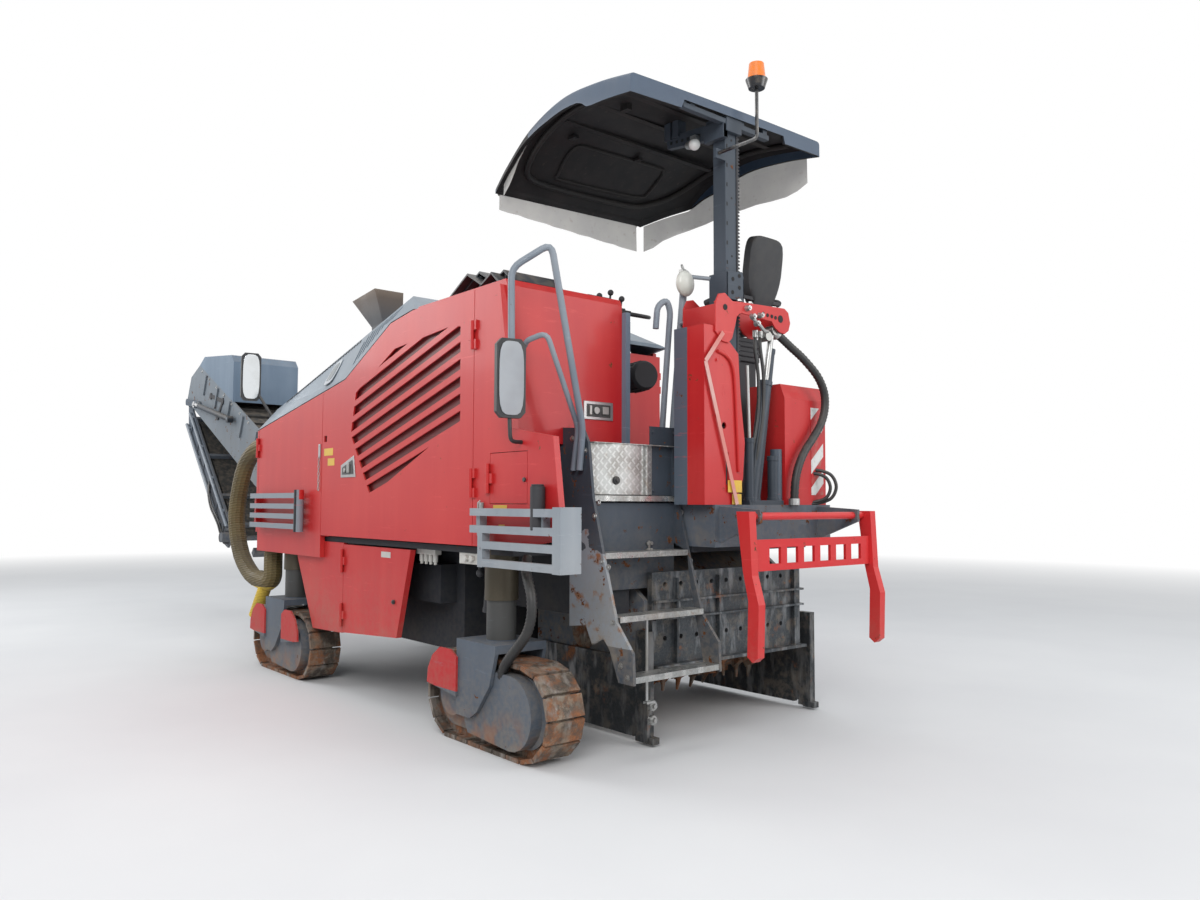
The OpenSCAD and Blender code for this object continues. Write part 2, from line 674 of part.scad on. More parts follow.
// Treads between the stringers
module treads() {
    color("#b9bfc2") rig() for (t = [[-500, -300, 1510], [-600, -471, 1165], [-735, -610, 800], [-866, -745, 470]])
        difference() {
            block([t[0], step_y0 + fit, t[2]], [t[1], step_y1 - fit, t[2] + 35]);
            block([t[0] + 6, step_y0 - 1, t[2] - 1], [t[1] + 1, step_y1 + 1, t[2] + 29]);
        }
}

// Base beam at the right rear, with the brackets of the folding carrier
carrier_x = -1090;
carrier_z = 1420;
carrier_y0 = -1215;
carrier_y1 = 105;
hinge_tube = 24;
module rear_base() {
    color(steel) rig() difference() {
        union() {
            block([-800, -1200, deck_top], [-442, 10, 1490]);
            for (y = [carrier_y1 - 160, carrier_y0 + 140]) plate_xz([[-800, 1250], [-800, 1480],
                [carrier_x - 40, carrier_z + 40], [carrier_x - 40, carrier_z - 40]], y, y + 25);
        }
        axle(carrier_x, carrier_z, carrier_y0 - 10, carrier_y1 + 10, hinge_tube + fit);
    }
}

// Red folding carrier: hinge tube, slotted plate and two bent arms
module carrier() {
    color(red) rig() {
        axle(carrier_x, carrier_z, carrier_y0, carrier_y1, hinge_tube);
        difference() {
            block([carrier_x - 60, carrier_y0 + 60, carrier_z - 330], [carrier_x - 40, carrier_y1 - 60, carrier_z - 140]);
            for (i = [0:5]) block([carrier_x - 61, carrier_y0 + 160 + i * 170, carrier_z - 290],
                [carrier_x - 39, carrier_y0 + 270 + i * 170, carrier_z - 190]);
        }
        for (y = [carrier_y0, carrier_y1 - 60]) plate_xz([
            [carrier_x + 30, carrier_z + 30], [carrier_x - 70, carrier_z + 30], [carrier_x - 90, carrier_z - 350],
            [carrier_x - 140, carrier_z - 520], [carrier_x - 130, carrier_z - 830], [carrier_x - 90, carrier_z - 860],
            [carrier_x - 50, carrier_z - 830], [carrier_x - 60, carrier_z - 500], [carrier_x - 20, carrier_z - 330]],
            y, y + 60);
    }
}

// Mast housing: a folded red channel on the base beam
house_y = 95;
house_x = -790;
house_back = -520;
head_t = 12;
module mast_housing() {
    color(red) rig() difference() {
        union() {
            block([house_x, house_y - 12, 1490], [house_back, house_y, 2640]);
            plate_yz([[house_y, 1490], [house_y, 2640], [-40, 2640], [-230, 2480], [-250, 2200], [-290, 1900],
                [-270, 1660], [-200, 1490]], house_x, house_x + 12);
            plate_yz([[house_y, 1490], [house_y, 2640], [-280, 2640], [-280, 1490]], house_back - 12, house_back);
        }
        axle_x(house_x - 1, house_x + 13, -90, 2000, 22);
        block([house_x - 1, -130, 1620], [house_x + 13, -105, 1830]);
    }
}

// Cross head with its rollers, above the housing
mast_x = -660;
mast_y = -120;
module mast_head() {
    color(red) rig() difference() {
        union() {
            plate_yz([[10, 2600], [10, 2800], [-40, 2850], [-760, 2830], [-780, 2780], [-760, 2640], [-340, 2600]],
                house_x - fit - head_t, house_x - fit);
            plate_yz([[10, 2600], [10, 2800], [-40, 2850], [-760, 2830], [-780, 2780], [-760, 2640], [-340, 2600]],
                house_back + fit, house_back + fit + head_t);
            block([house_x - fit - eps, -780, 2700], [house_back + fit + eps, -740, 2830]);
            block([house_x - fit - eps, -2, 2640 + fit], [house_back + fit + eps, 10, 2800]);
        }
        for (y = [-90, -430, -560, -680]) axle_x(house_x - 15, house_x + 1, y, 2750, 20);
    }
    color(steel) rig() for (z = [2660, 2780]) for (x = [[house_x - fit - eps, mast_x - mast_side / 2 - fit],
        [mast_x + mast_side / 2 + fit, house_back + fit + eps]])
        block([x[0], mast_y - mast_side / 2, z], [x[1], mast_y + mast_side / 2, z + 45]);
    color(steel) rig() for (y = [-420, -560]) plate_yz([[y - 30, 1490], [y - 100, 2640], [y - 160, 2640], [y - 90, 1490]],
        -700, -640);
}

// Red cabinet with a sloped lid
module cabinet() {
    color(red) rig() {
        plate_xz([[-780, 1490], [-780, 2230], [-740, 2330], [-443, 2330], [-443, 1490]], -1180, -720);
    }
    color(steel) rig() translate([-745, -665, 1490]) cylinder(h = 380, r = 40);
}

module console() {
    color("#1d2024") rig() {
        block([80, tower_y - 330, 2620], [330, tower_y - fit, 2800]);
        block([140, tower_y - 60, 2200], [280, tower_y - fit, 2620 + eps]);
        axle(190, 2400, tower_y - 190, tower_y - 60 + eps, 95);
    }
    color("#1d2024") rig() translate(wheel_at) rotate([0, -wheel_tilt, 0]) translate([0, 0, -230])
        cylinder(h = 222 - fit, r = 20);
}
wheel_at = [128, -53, 2870];
wheel_tilt = 15;
module steering_wheel() {
    color("#16181a") rig() translate(wheel_at) rotate([0, -wheel_tilt, 0]) {
        rotate_extrude() translate([175, 0]) circle(r = 14);
        for (a = [0:120:240]) rotate(a) translate([20, -12, -5]) cube([150, 24, 10]);
        translate([0, 0, -8]) cylinder(h = 30, r = 40);
    }
}

seat_y = -875;
module seat() {
    color("#1b1d20") rig() {
        block([-330, seat_y - 205, 2760], [60, seat_y + 205, 2860]);
        hull() {
            translate([-360, seat_y, 2900]) rotate([90, 0, 0]) cylinder(h = 240, r = 40, center = true, $fn = 24);
            translate([-420, seat_y, 3330]) rotate([90, 0, 0]) cylinder(h = 420, r = 45, center = true, $fn = 24);
            translate([-400, seat_y, 3120]) rotate([90, 0, 0]) cylinder(h = 460, r = 45, center = true, $fn = 24);
        }
        block([-340, seat_y - 75, 2820], [-300, seat_y + 75, 2960]);
    }
    color(steel) rig() block([-230, seat_y - 90, floor_z], [-60, seat_y + 90, 2760 + eps]);
}

rail_y = step_y1 + 20 + fit + 21;

// Handrails: two loops on the left, tube and square post on the right
module handrails() {
    color("#6d7c8a") rig() {
        bent_bar([[hood_rear - fit, 1160, 2330], [-310, 1160, 2330], [-340, 1262, 2370], [-330, 1262, 2890],
            [-480, 1080, 3040], [-430, rail_y, 1950], [-400, rail_y, 1700]], 21);
        bent_bar([[hood_rear - fit, 1120, 2440], [-270, 1120, 2440], [-320, 1140, 2470], [-440, 1080, 2510],
            [-380, rail_y - 4, 1960], [-330, rail_y - 4, 1700]], 17);
        bent_bar([[-320, step_y0 - 20 - fit - 21, floor_z + fit], [-320, step_y0 - 20 - fit - 21, 2010],
            [-450, 60, 2780], [-455, 100, 2850], [-430, 160, 2800], [-425, 170, 2650]], 21);
        bent_bar([[-350, -60, floor_z + fit], [-350, -60, 1960], [-430, -100, 3080]], 26);
    }
}

// Exhaust outlet and folded rain shield on the roof
module exhaust() {
    color("#7a6a5c") rig() {
        difference() {
            hull() {
                block([2050, 760, 2700], [2250, 960, 2705]);
                block([2150, 640, 3290], [2700, 1080, 3300]);
            }
            hull() {
                block([2070, 780, 2699], [2230, 940, 2705]);
                block([2170, 660, 3290], [2680, 1060, 3301]);
            }
            plate_xz([[1980, on_roof(1980) + fit], [roof_front.x, roof_front[1] + fit], [roof_front.x, 2000],
                [1980, 2000]], 600, 1100);
        }
    }
    color(dark) rig() plate_xz([[-120, 2960], [40, 3120], [240, 2980], [480, 3130], [820, 2960], [840, 2975],
        [480, 3150], [240, 3000], [40, 3140], [-140, 2975]], 420, 1080);
    color(dark) rig() for (x = [0, 700]) block([x, 700, tower_top], [x + 40, 740, x > 100 ? 3000 : 3040]);
}

// Mirrors on bent arms
module mirror(at, turn) {
    translate(at) rotate([0, 0, turn])
        plate_yz([[-60, -230], [60, -230], [90, -195], [90, 195], [60, 230], [-60, 230], [-90, 195], [-90, -195]], 0, 40);
}
module mirrors() {
    color("#15171a") rig() {
        mirror([-440, 1330, 2215], -12);
        bent_bar([[-420, side_y + fit, 1850], [-420, 1320, 1850], [-420, 1330, 2030]], 12);
        for (s = [-1, 1]) scale([1, s, 1]) {
            mirror([4080, 1240, 2700], -10);
            bent_bar([[hood_front + fit, 980, 2150], [3920, 980, 2150], [4090, 1180, 2560]], 14);
        }
    }
}

// End of the feed belt in the mouth of the front wall
feed_end = slew_x - 400;
module feed_belt() {
    color(dark) rig() {
        plate_xz([[hood_front - 300, 1420], [hood_front - 300, 1720], [feed_end - 80, 1900], [feed_end, 1800],
            [feed_end - 80, 1700]], -360, -330);
        plate_xz([[hood_front - 300, 1420], [hood_front - 300, 1720], [feed_end - 80, 1900], [feed_end, 1800],
            [feed_end - 80, 1700]], 330, 360);
        axle(feed_end - 80, 1800, -330 - eps, 330 + eps, 70);
        plate_xz([[hood_front - 300, 1560], [hood_front - 300, 1580], [feed_end - 80, 1830], [feed_end - 80, 1810]],
            -330 - eps, 330 + eps);
        block([hood_front - 300, -360, deck_top], [hood_front - 240, 360, 1425]);
    }
}

// Olive dust hose in front of the left corner, with its pipe and yellow sleeve
hose_points = [[3885, 1130, 2020], [4060, 1170, 2010], [4300, 1195, 1850], [4460, 1200, 1560], [4500, 1200, 1280],
    [4380, 1185, 980], [4150, 1160, 800], [3960, 1140, 760]];
module dust_hose() {
    color("#7a6a1e") rig() {
        axle_x(hood_front + fit, hood_front + 40, hose_points[0].y, hose_points[0].z, 84);
        hose(curve(hose_points, 3), 78, 12);
        bent_bar([[3770, 1100, deck_z - fit], [3770, 1100, 790], [3840, 1118, 740], [4010, 1144, 770]], 84);
        bar([3880, 1130, 700], [4060, 1150, 420], 60);
    }
}

// Canopy: moulded shell on a square mast with a rack
canopy_x = -820;
canopy_y = -270;
canopy_t = 26;
canopy_rim = 105;
canopy_corner = 190;
rear_rise = 225;
roof_knee = [860, 300];
// Line of the roof from its rear edge: straight to the knee, then falling away to the front
function on_canopy(x) = rear_rise + x * (roof_knee[1] - rear_rise) / roof_knee.x;
canopy_line = concat([[0, rear_rise]], curve([roof_knee, [1290, 205], [1540, 35], [canopy_len, -120]], 4));
module canopy_form(inset, top, depth) {
    half = canopy_w / 2 - inset;
    front = canopy_len - inset;
    intersection() {
        plate_xz(concat([for (p = canopy_line) [p[0], p[1] - top]],
            [for (i = [len(canopy_line) - 1:-1:0]) [canopy_line[i][0], canopy_line[i][1] - depth]]), -half, half);
        translate([0, 0, -900]) linear_extrude(1800) polygon([
            [inset, 60 - half], [inset + 60, -half], [front - canopy_corner, -half], [front, canopy_corner - half],
            [front, half - canopy_corner], [front - canopy_corner, half], [inset + 60, half], [inset, half - 60]]);
    }
}
module canopy_shell() {
    color("#3a4552") rig() translate([canopy_x, canopy_y, canopy_z]) {
        difference() {
            canopy_form(0, 0, canopy_rim);
            canopy_form(canopy_t, canopy_t, canopy_rim + 200);
        }
        // raised panel on the level part of the roof
        plate_xz([[100, on_canopy(100) - 5], [150, on_canopy(150) + 30],
            [roof_knee.x - 100, on_canopy(roof_knee.x - 100) + 30], [roof_knee.x - 50, on_canopy(roof_knee.x - 50) - 5]],
            220 - canopy_w / 2, canopy_w / 2 - 220);
    }
}
rack_teeth = 40;
arm_reach = 700;
module canopy_mast() {
    under = canopy_z - canopy_t - fit;
    color(steel) rig() {
        block([mast_x - mast_side / 2, mast_y - mast_side / 2, 2010],
            [mast_x + mast_side / 2, mast_y + mast_side / 2, under + on_canopy(mast_x - 60 - canopy_x)]);
        for (i = [0:rack_teeth - 1]) translate([mast_x, mast_y - mast_side / 2, 2900 + i * 24])
            plate_xz([[-12, 0], [12, 0], [12, 12], [-12, 12]], -14, eps);
        // arms under the roof, joined by a cross piece at the mast
        for (y = [-300, 240]) plate_xz([
            [mast_x - 60, under + on_canopy(mast_x - 60 - canopy_x)], [mast_x - 60, canopy_z + 100],
            [mast_x + 100, canopy_z + 100], [mast_x + arm_reach, canopy_z + 190],
            [mast_x + arm_reach, under + on_canopy(mast_x + arm_reach - canopy_x)]], mast_y + y, mast_y + y + 60);
        block([mast_x - 60, mast_y - 300, canopy_z + 100], [mast_x + 60, mast_y + 300, canopy_z + 150]);
    }
}
module beacon() {
    color("#d8650a") rig() {
        bent_bar([[mast_x - mast_side / 2 - fit, -120, canopy_z - 60], [-860, -120, canopy_z - 60],
            [-860, -350, canopy_z + 60], [-860, -350, canopy_z + 420]], 12);
        translate([-860, -350, canopy_z + 400]) cylinder(h = 60, r1 = 55, r2 = 75);
        translate([-860, -350, canopy_z + 460 - eps]) cylinder(h = 110, r1 = 62, r2 = 50);
    }
}

// Belt: slewing yoke, lifting cylinders, lower frame, folding frame
lug_in = 340;
lug_t = 30;
pin_r = 30;
cyl_y = 250;
lift_a = [slew_x + 300, 1150];
module belt_yoke() {
    color(steel) rig() difference() {
        union() {
            translate([slew_x, 0, fork_low - 20]) cylinder(h = deck_z + 20 - fork_low + 20, r = slew_r - fit);
            translate([slew_x, 0, fork_low + fork_t + fit]) cylinder(h = deck_z - fork_low - 2 * fork_t - 2 * fit, r = 110);
            block([slew_x - 150, -lug_in - lug_t, deck_z + fit], [slew_x + 180, lug_in + lug_t, deck_z + 35]);
            for (s = [-1, 1]) scale([1, s, 1]) plate_xz([[slew_x - 90, deck_z + 30], [slew_x - 60, lift_z + 60],
                [slew_x + 60, lift_z + 60], [slew_x + 90, deck_z + 30]], lug_in, lug_in + lug_t);
            for (s = [-1, 1]) for (d = [-60, 35]) scale([1, s, 1]) plate_xz([[slew_x + 120, deck_z + fit],
                [slew_x + 120, deck_z + 35], [lift_a.x + 50, 1200], [lift_a.x + 50, 1110], [lift_a.x - 50, 1110],
                [slew_x + 170, deck_z + fit]], cyl_y + d, cyl_y + d + 25);
        }
        for (s = [-1, 1]) scale([1, s, 1]) axle(slew_x, lift_z, lug_in - 1, lug_in + lug_t + 1, pin_r + fit);
        for (s = [-1, 1]) scale([1, s, 1]) axle(lift_a.x, lift_a.y, cyl_y - 70, cyl_y + 70, 20 + fit);
    }
}

// Children are drawn with X along the belt and Z square to it, from the lifting pin
module on_belt() {
    rig() translate([slew_x, 0, lift_z]) rotate([0, -belt_slope, 0]) children();
}
wall_low = 300;
wall_high = 330;
knee_z = -wall_low;
lift_b = [1300, -360];
fold_c = [2700, 150];
fold_d = [4100, -150];
knee_pin = 28;
lever_t = 25;
module belt_lower() {
    color("#7d8990") on_belt() difference() {
        union() {
            for (s = [-1, 1]) scale([1, s, 1]) {
                plate_xz([[-110, -40], [-110, 60], [0, 110], [500, wall_high], [lower_len - 250, wall_high],
                    [lower_len + 40, 60], [lower_len + 60, knee_z + 60], [lower_len + 60, knee_z - 50],
                    [lower_len - 60, knee_z - 50], [lower_len - 90, knee_z], [500, knee_z], [0, -110]],
                    belt_side - belt_wall, belt_side);
                axle(0, 0, 0, lug_in - fit, 55);
                axle(0, 0, 0, lug_in + lug_t + 5, pin_r);
            }
            block([200, -belt_side + belt_wall - eps, -30], [lower_len - 350, belt_side - belt_wall + eps, -10]);
            for (x = [420, 1200, 2200, 3200, 4200]) block([x, -belt_side + belt_wall - eps, -140],
                [x + 50, belt_side - belt_wall + eps, -80]);
            block([-90, -belt_side + belt_wall - eps, -40], [100, -lug_in - lug_t - 8, 40]);
            block([-90, lug_in + lug_t + 8, -40], [100, belt_side - belt_wall + eps, 40]);
            for (s = [-1, 1]) scale([1, s, 1]) {
                for (d = [-60, 35]) plate_xz([[lift_b.x - 100, -290], [lift_b.x - 45, lift_b[1] - 40],
                    [lift_b.x + 45, lift_b[1] - 40], [lift_b.x + 100, -290], [lift_b.x + 100, -140],
                    [lift_b.x - 100, -140]], cyl_y + d, cyl_y + d + 25);
                axle(fold_c.x, fold_c[1], belt_side - eps, belt_side + 100, 22);
            }
            block([lift_b.x - 100, -belt_side + belt_wall - eps, -200], [lift_b.x + 100, belt_side - belt_wall + eps, -140]);
        }
        axle(lower_len, knee_z, -belt_side - 1, belt_side + 1, knee_pin + fit);
    }
}

// A belt band: two runs round two drums, with cleats on its outside
module band(x0, x1, r, w, cleats) {
    rotate([90, 0, 0]) {
        linear_extrude(w, center = true) difference() {
            union() {
                translate([x0, 0]) circle(r = r);
                translate([x1, 0]) circle(r = r);
                translate([x0, -r]) square([x1 - x0, 2 * r]);
            }
            union() {
                translate([x0, 0]) circle(r = r - 14);
                translate([x1, 0]) circle(r = r - 14);
                translate([x0, -r + 14]) square([x1 - x0, 2 * r - 28]);
            }
        }
    }
    for (i = [1:cleats - 1]) translate([x0 + (x1 - x0) * i / cleats, -w / 2 + 30, r - eps]) cube([16, w - 60, 30]);
    for (x = [x0, x1]) axle(x, 0, -w / 2 + 10, w / 2 - 10, r - 14 + eps);
}
module belt_lower_band() {
    color("#24262a") on_belt() {
        translate([0, 0, 100]) band(300, lower_len - 420, 100, belt_w, 15);
        for (x = [300, lower_len - 420]) axle(x, 100, -belt_side + belt_wall, belt_side - belt_wall, 30);
    }
}

// Blue-grey hood over the upper end of the lower frame
module belt_hood() {
    color("#40566f") on_belt() difference() {
        plate_xz([[2870, wall_high], [3080, 800], [3200, 850], [4250, 500], [lower_len - 250, wall_high]],
            -belt_side, belt_side);
        plate_xz([[2890, wall_high - 1], [3095, 785], [3200, 828], [4240, 480], [lower_len - 290, wall_high - 1]],
            -belt_side + 15, belt_side - 15);
    }
}

// Lifting cylinders
lift_dir = atan2(lift_z + lift_b.x * sin(belt_slope) + lift_b[1] * cos(belt_slope) - lift_a.y,
    slew_x + lift_b.x * cos(belt_slope) - lift_b[1] * sin(belt_slope) - lift_a.x);
lift_len = norm([slew_x + lift_b.x * cos(belt_slope) - lift_b[1] * sin(belt_slope) - lift_a.x,
    lift_z + lift_b.x * sin(belt_slope) + lift_b[1] * cos(belt_slope) - lift_a.y]);
module on_lift() {
    rig() translate([lift_a.x, 0, lift_a.y]) rotate([0, -lift_dir, 0]) children();
}
module barrel(len, r, bore, eye) {
    difference() {
        union() {
            translate([eye + 50, 0, 0]) rotate([0, 90, 0]) cylinder(h = len - eye - 50, r = r);
            rotate([0, 90, 0]) cylinder(h = eye + 51, r = 28);
            axle(0, 0, -30, 30, eye + 18);
            axle(0, 0, -62, 62, eye);
        }
        translate([eye + 60, 0, 0]) rotate([0, 90, 0]) cylinder(h = len, r = bore);
    }
}
module rod(start, len, r, eye) {
    translate([start, 0, 0]) rotate([0, 90, 0]) cylinder(h = len - start, r = r);
    axle(len, 0, -30, 30, eye + 18);
    axle(len, 0, -34.7, 34.7, eye);
}
module lift_barrels() {
    color(dark) on_lift() for (y = [-cyl_y, cyl_y]) translate([0, y, 0]) barrel(620, 48, 32 + fit, 20);
}
module lift_rods() {
    color("#c8ccd0") on_lift() for (y = [-cyl_y, cyl_y]) translate([0, y, 0]) rod(120, lift_len, 32, 20);
}

// Folding cylinders beside the lower frame
fold_dir = atan2(fold_d[1] - fold_c[1], fold_d.x - fold_c.x);
fold_len = norm(fold_d - fold_c);
fold_y = belt_side + lever_t + 40;
module on_fold() {
    on_belt() translate([fold_c.x, 0, fold_c[1]]) rotate([0, -fold_dir, 0]) children();
}
module fold_barrels() {
    color(dark) on_fold() for (s = [-1, 1]) scale([1, s, 1]) translate([0, fold_y, 0]) difference() {
        union() {
            rotate([0, 90, 0]) cylinder(h = fold_len - 160, r = 35);
            axle(0, 0, -38, 30, 44);
        }
        axle(0, 0, -66, 61, 22 + fit);
        translate([60, 0, 0]) rotate([0, 90, 0]) cylinder(h = fold_len, r = 26 + fit);
    }
}
module fold_rods() {
    color("#c8ccd0") on_fold() for (s = [-1, 1]) scale([1, s, 1]) translate([0, fold_y, 0]) {
        translate([70, 0, 0]) rotate([0, 90, 0]) cylinder(h = fold_len - 70, r = 26);
        axle(fold_len, 0, belt_side + lever_t + fit - fold_y, 30, 44);
        axle(fold_len, 0, 30 - eps, 42, 22);
    }
}

// Children are drawn with X along the folding frame from the knee, Z away from the lower frame
module on_upper() {
    on_belt() translate([lower_len, 0, knee_z]) rotate([0, fold_angle, 0]) children();
}
upper_side = belt_side - belt_wall - 3;
upper_h = 330;
fold_lever = [for (v = [fold_d - [lower_len, knee_z]])
    [v.x * cos(fold_angle) - v[1] * sin(fold_angle), v.x * sin(fold_angle) + v[1] * cos(fold_angle)]][0];
module belt_upper() {
    color("#59666f") on_upper() {
        for (s = [-1, 1]) scale([1, s, 1]) {
            plate_xz([[-50, -50], [60, -50], [200, 10], [upper_len - 150, 10], [upper_len, 80], [upper_len, upper_h - 60],
                [upper_len - 120, upper_h], [250, upper_h], [-50, 60]], upper_side - belt_wall, upper_side);
            link([0, 0], fold_lever, 48, belt_side + fit, belt_side + lever_t);
            axle(0, 0, 0, belt_side + 10, knee_pin);
        }
        for (x = [300, 1100, 1900, upper_len - 200]) block([x, -upper_side + belt_wall - eps, 20],
            [x + 45, upper_side - belt_wall + eps, 70]);
    }
    color(dark) on_upper() translate([upper_len - 40, 0, 120]) {
        axle(0, 0, upper_side - eps, upper_side + 110, 60);
        block([10, -upper_side + belt_wall - eps, -30], [40, upper_side - belt_wall + eps, 30]);
        block([10, -120, 0], [40, -80, 240]);
        block([-30, -150, 235], [50, 30, 330]);
    }
}
module belt_upper_band() {
    color("#24262a") on_upper() {
        translate([0, 0, 200]) band(260, upper_len - 190, 75, belt_w - 20, 9);
        for (x = [260, upper_len - 190]) axle(x, 200, -upper_side + belt_wall, upper_side - belt_wall, 26);
    }
}

chassis();
leg_tubes();
drum_box();
engine();
hood();
hood_top();
inner_wall();
rear_panel();
fender_left();
fender_right();
bumper_rear_left();
platform();
ladder();
treads();
rear_base();
mast_housing();
mast_head();
cabinet();
console();
steering_wheel();
seat();
handrails();
exhaust();
mirrors();
feed_belt();
dust_hose();
canopy_shell();
canopy_mast();
beacon();
louvre_door_left();
louvre_door_right();
front_door_left();
front_door_right();
lower_door();
small_door();
loop_front_left();
loop_front_right();
loop_rear_left();
loop_rear_right();
track_front_left();
track_front_right();
track_rear_left();
track_rear_right();
drum();
side_plate_left();
side_plate_right();
scraper();
carrier();
belt_yoke();
lift_barrels();
lift_rods();
belt_lower();
belt_lower_band();
belt_hood();
fold_barrels();
fold_rods();
belt_upper();
belt_upper_band();
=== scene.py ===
"""Looks of the cold planer: finishes, hoses, straps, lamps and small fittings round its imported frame."""

import math

import bmesh
import bpy
from bpy.props import FloatProperty, FloatVectorProperty, IntProperty, PointerProperty
from mathutils import Matrix, Vector


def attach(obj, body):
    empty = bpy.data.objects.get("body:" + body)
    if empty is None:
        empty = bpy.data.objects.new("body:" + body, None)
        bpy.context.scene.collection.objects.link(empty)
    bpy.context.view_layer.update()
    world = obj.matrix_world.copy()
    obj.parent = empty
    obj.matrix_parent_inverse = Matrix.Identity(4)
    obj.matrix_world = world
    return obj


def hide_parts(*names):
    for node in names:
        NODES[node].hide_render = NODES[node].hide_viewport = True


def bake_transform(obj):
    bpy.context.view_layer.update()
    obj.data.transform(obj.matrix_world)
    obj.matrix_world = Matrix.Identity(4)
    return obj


bl_info = {
    "name": "Cold planer looks",
    "version": (1, 0, 0),
    "blender": (4, 5, 0),
    "location": "3D View > Sidebar > Cold planer",
    "description": "Finishes, hoses, lamps and small fittings of a compact road milling machine",
    "category": "Object",
}

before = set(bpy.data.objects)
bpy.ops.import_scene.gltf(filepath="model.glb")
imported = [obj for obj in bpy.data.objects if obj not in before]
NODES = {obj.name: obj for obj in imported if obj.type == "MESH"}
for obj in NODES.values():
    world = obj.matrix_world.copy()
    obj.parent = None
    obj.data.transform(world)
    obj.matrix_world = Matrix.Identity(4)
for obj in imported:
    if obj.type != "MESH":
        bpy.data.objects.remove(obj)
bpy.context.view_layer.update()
REAR_LEG = Vector((-3.910, -0.035, 0.0))  # foot of the left rear leg's line in the row frame
SIDE_Y = 1240  # outside of the flank, in millimetres
MAST_CONDUIT = 0.060  # diameters of hoses, in metres
BELT_HOSE = 0.022


def at(x, y, z):
    """A point in the part's own millimetres, from the foot of the left rear leg's line, as metres of the row frame."""
    return Vector((x, y, z)) / 1000 + REAR_LEG


def at_all(points):
    return [at(*p) for p in points]


# Sizes and colours


def tint(**settings):
    return FloatVectorProperty(subtype="COLOR", size=3, min=0, max=1, **settings)


def measure(**settings):
    return FloatProperty(unit="LENGTH", **settings)


class PlanerColours(bpy.types.PropertyGroup):
    """Colours of the paints and plain materials."""

    red: tint(
        name="Red", description="Doors, tower and carrier", default=(0.47, 0.014, 0.018)
    )
    red_faded: tint(
        name="Faded red", description="Red where the sun has worn it", default=(0.57, 0.040, 0.034)
    )
    slate: tint(
        name="Slate", description="Blue-grey of frames, ladder and yokes", default=(0.062, 0.078, 0.100)
    )
    belt_grey: tint(
        name="Belt grey", description="Side walls of the belt frame", default=(0.125, 0.150, 0.175)
    )
    rail_grey: tint(
        name="Rail grey", description="Bumper rails", default=(0.22, 0.25, 0.28)
    )
    hull_dark: tint(
        name="Hull", description="Hull and engine", default=(0.011, 0.013, 0.017)
    )
    rust: tint(
        name="Rust", description="Bare steel that has rusted", default=(0.17, 0.065, 0.025)
    )
    dust: tint(
        name="Road dust", description="Dust and dried mud", default=(0.27, 0.22, 0.165)
    )
    olive: tint(
        name="Olive", description="Suction hose", default=(0.085, 0.062, 0.022)
    )
    yellow: tint(
        name="Yellow", description="Sleeve of the suction hose", default=(0.75, 0.5, 0.03)
    )


class PlanerSizes(bpy.types.PropertyGroup):
    """Sizes of the pieces that are added to the frame."""

    conduit: measure(
        name="Conduit", description="Diameter of the ribbed conduit to the left rear track", min=0.03, max=0.09, default=0.062
    )
    hose: measure(
        name="Hose", description="Diameter of the hydraulic hoses", min=0.012, max=0.04, default=0.024
    )
    strap: measure(
        name="Strap", description="Width of the lashing strap", min=0.02, max=0.05, default=0.03
    )
    bolt: measure(
        name="Bolt", description="Width over a bolt's head", min=0.01, max=0.04, default=0.024
    )
    roof_holes: IntProperty(
        name="Roof holes", description="Small holes in a row along each edge of the front roof", min=4, max=34, default=30
    )


def colour(name):
    return tuple(getattr(bpy.context.scene.planer_colours, name))


def size(name):
    return getattr(bpy.context.scene.planer_sizes, name)


def times(share, tone):
    """A colour made darker or lighter."""
    return tuple(share * c for c in tone)


# Shader maths


class Wire:
    """A socket of a finish, so that its maths reads like arithmetic."""

    def __init__(self, finish, socket):
        self.finish, self.socket = finish, socket

    def math(self, operation, *values, clamp=False):
        settings = {"operation": operation, "use_clamp": clamp}
        return self.finish.node("ShaderNodeMath", settings, {i: v for i, v in enumerate(values)})

    def __add__(self, other):
        return self.math("ADD", self, other)

    def __sub__(self, other):
        return self.math("SUBTRACT", self, other)

    def __rsub__(self, other):
        return self.math("SUBTRACT", other, self)

    def __mul__(self, other):
        return self.math("MULTIPLY", self, other)

    def __truediv__(self, other):
        return self.math("DIVIDE", self, other)

    def __gt__(self, other):
        return self.math("GREATER_THAN", self, other)

    def __lt__(self, other):
        return self.math("LESS_THAN", self, other)

    __radd__ = __add__
    __rmul__ = __mul__

    def size(self):
        return self.math("ABSOLUTE", self)

    def fraction(self):
        return self.math("FRACT", self)

    def wave(self):
        return self.math("SINE", self)

    def limited(self):
        return self.math("ADD", self, 0.0, clamp=True)

    def over(self, low, high):
        """0 at low and 1 at high, without going past either."""
        return ((self - low) / (high - low)).limited()


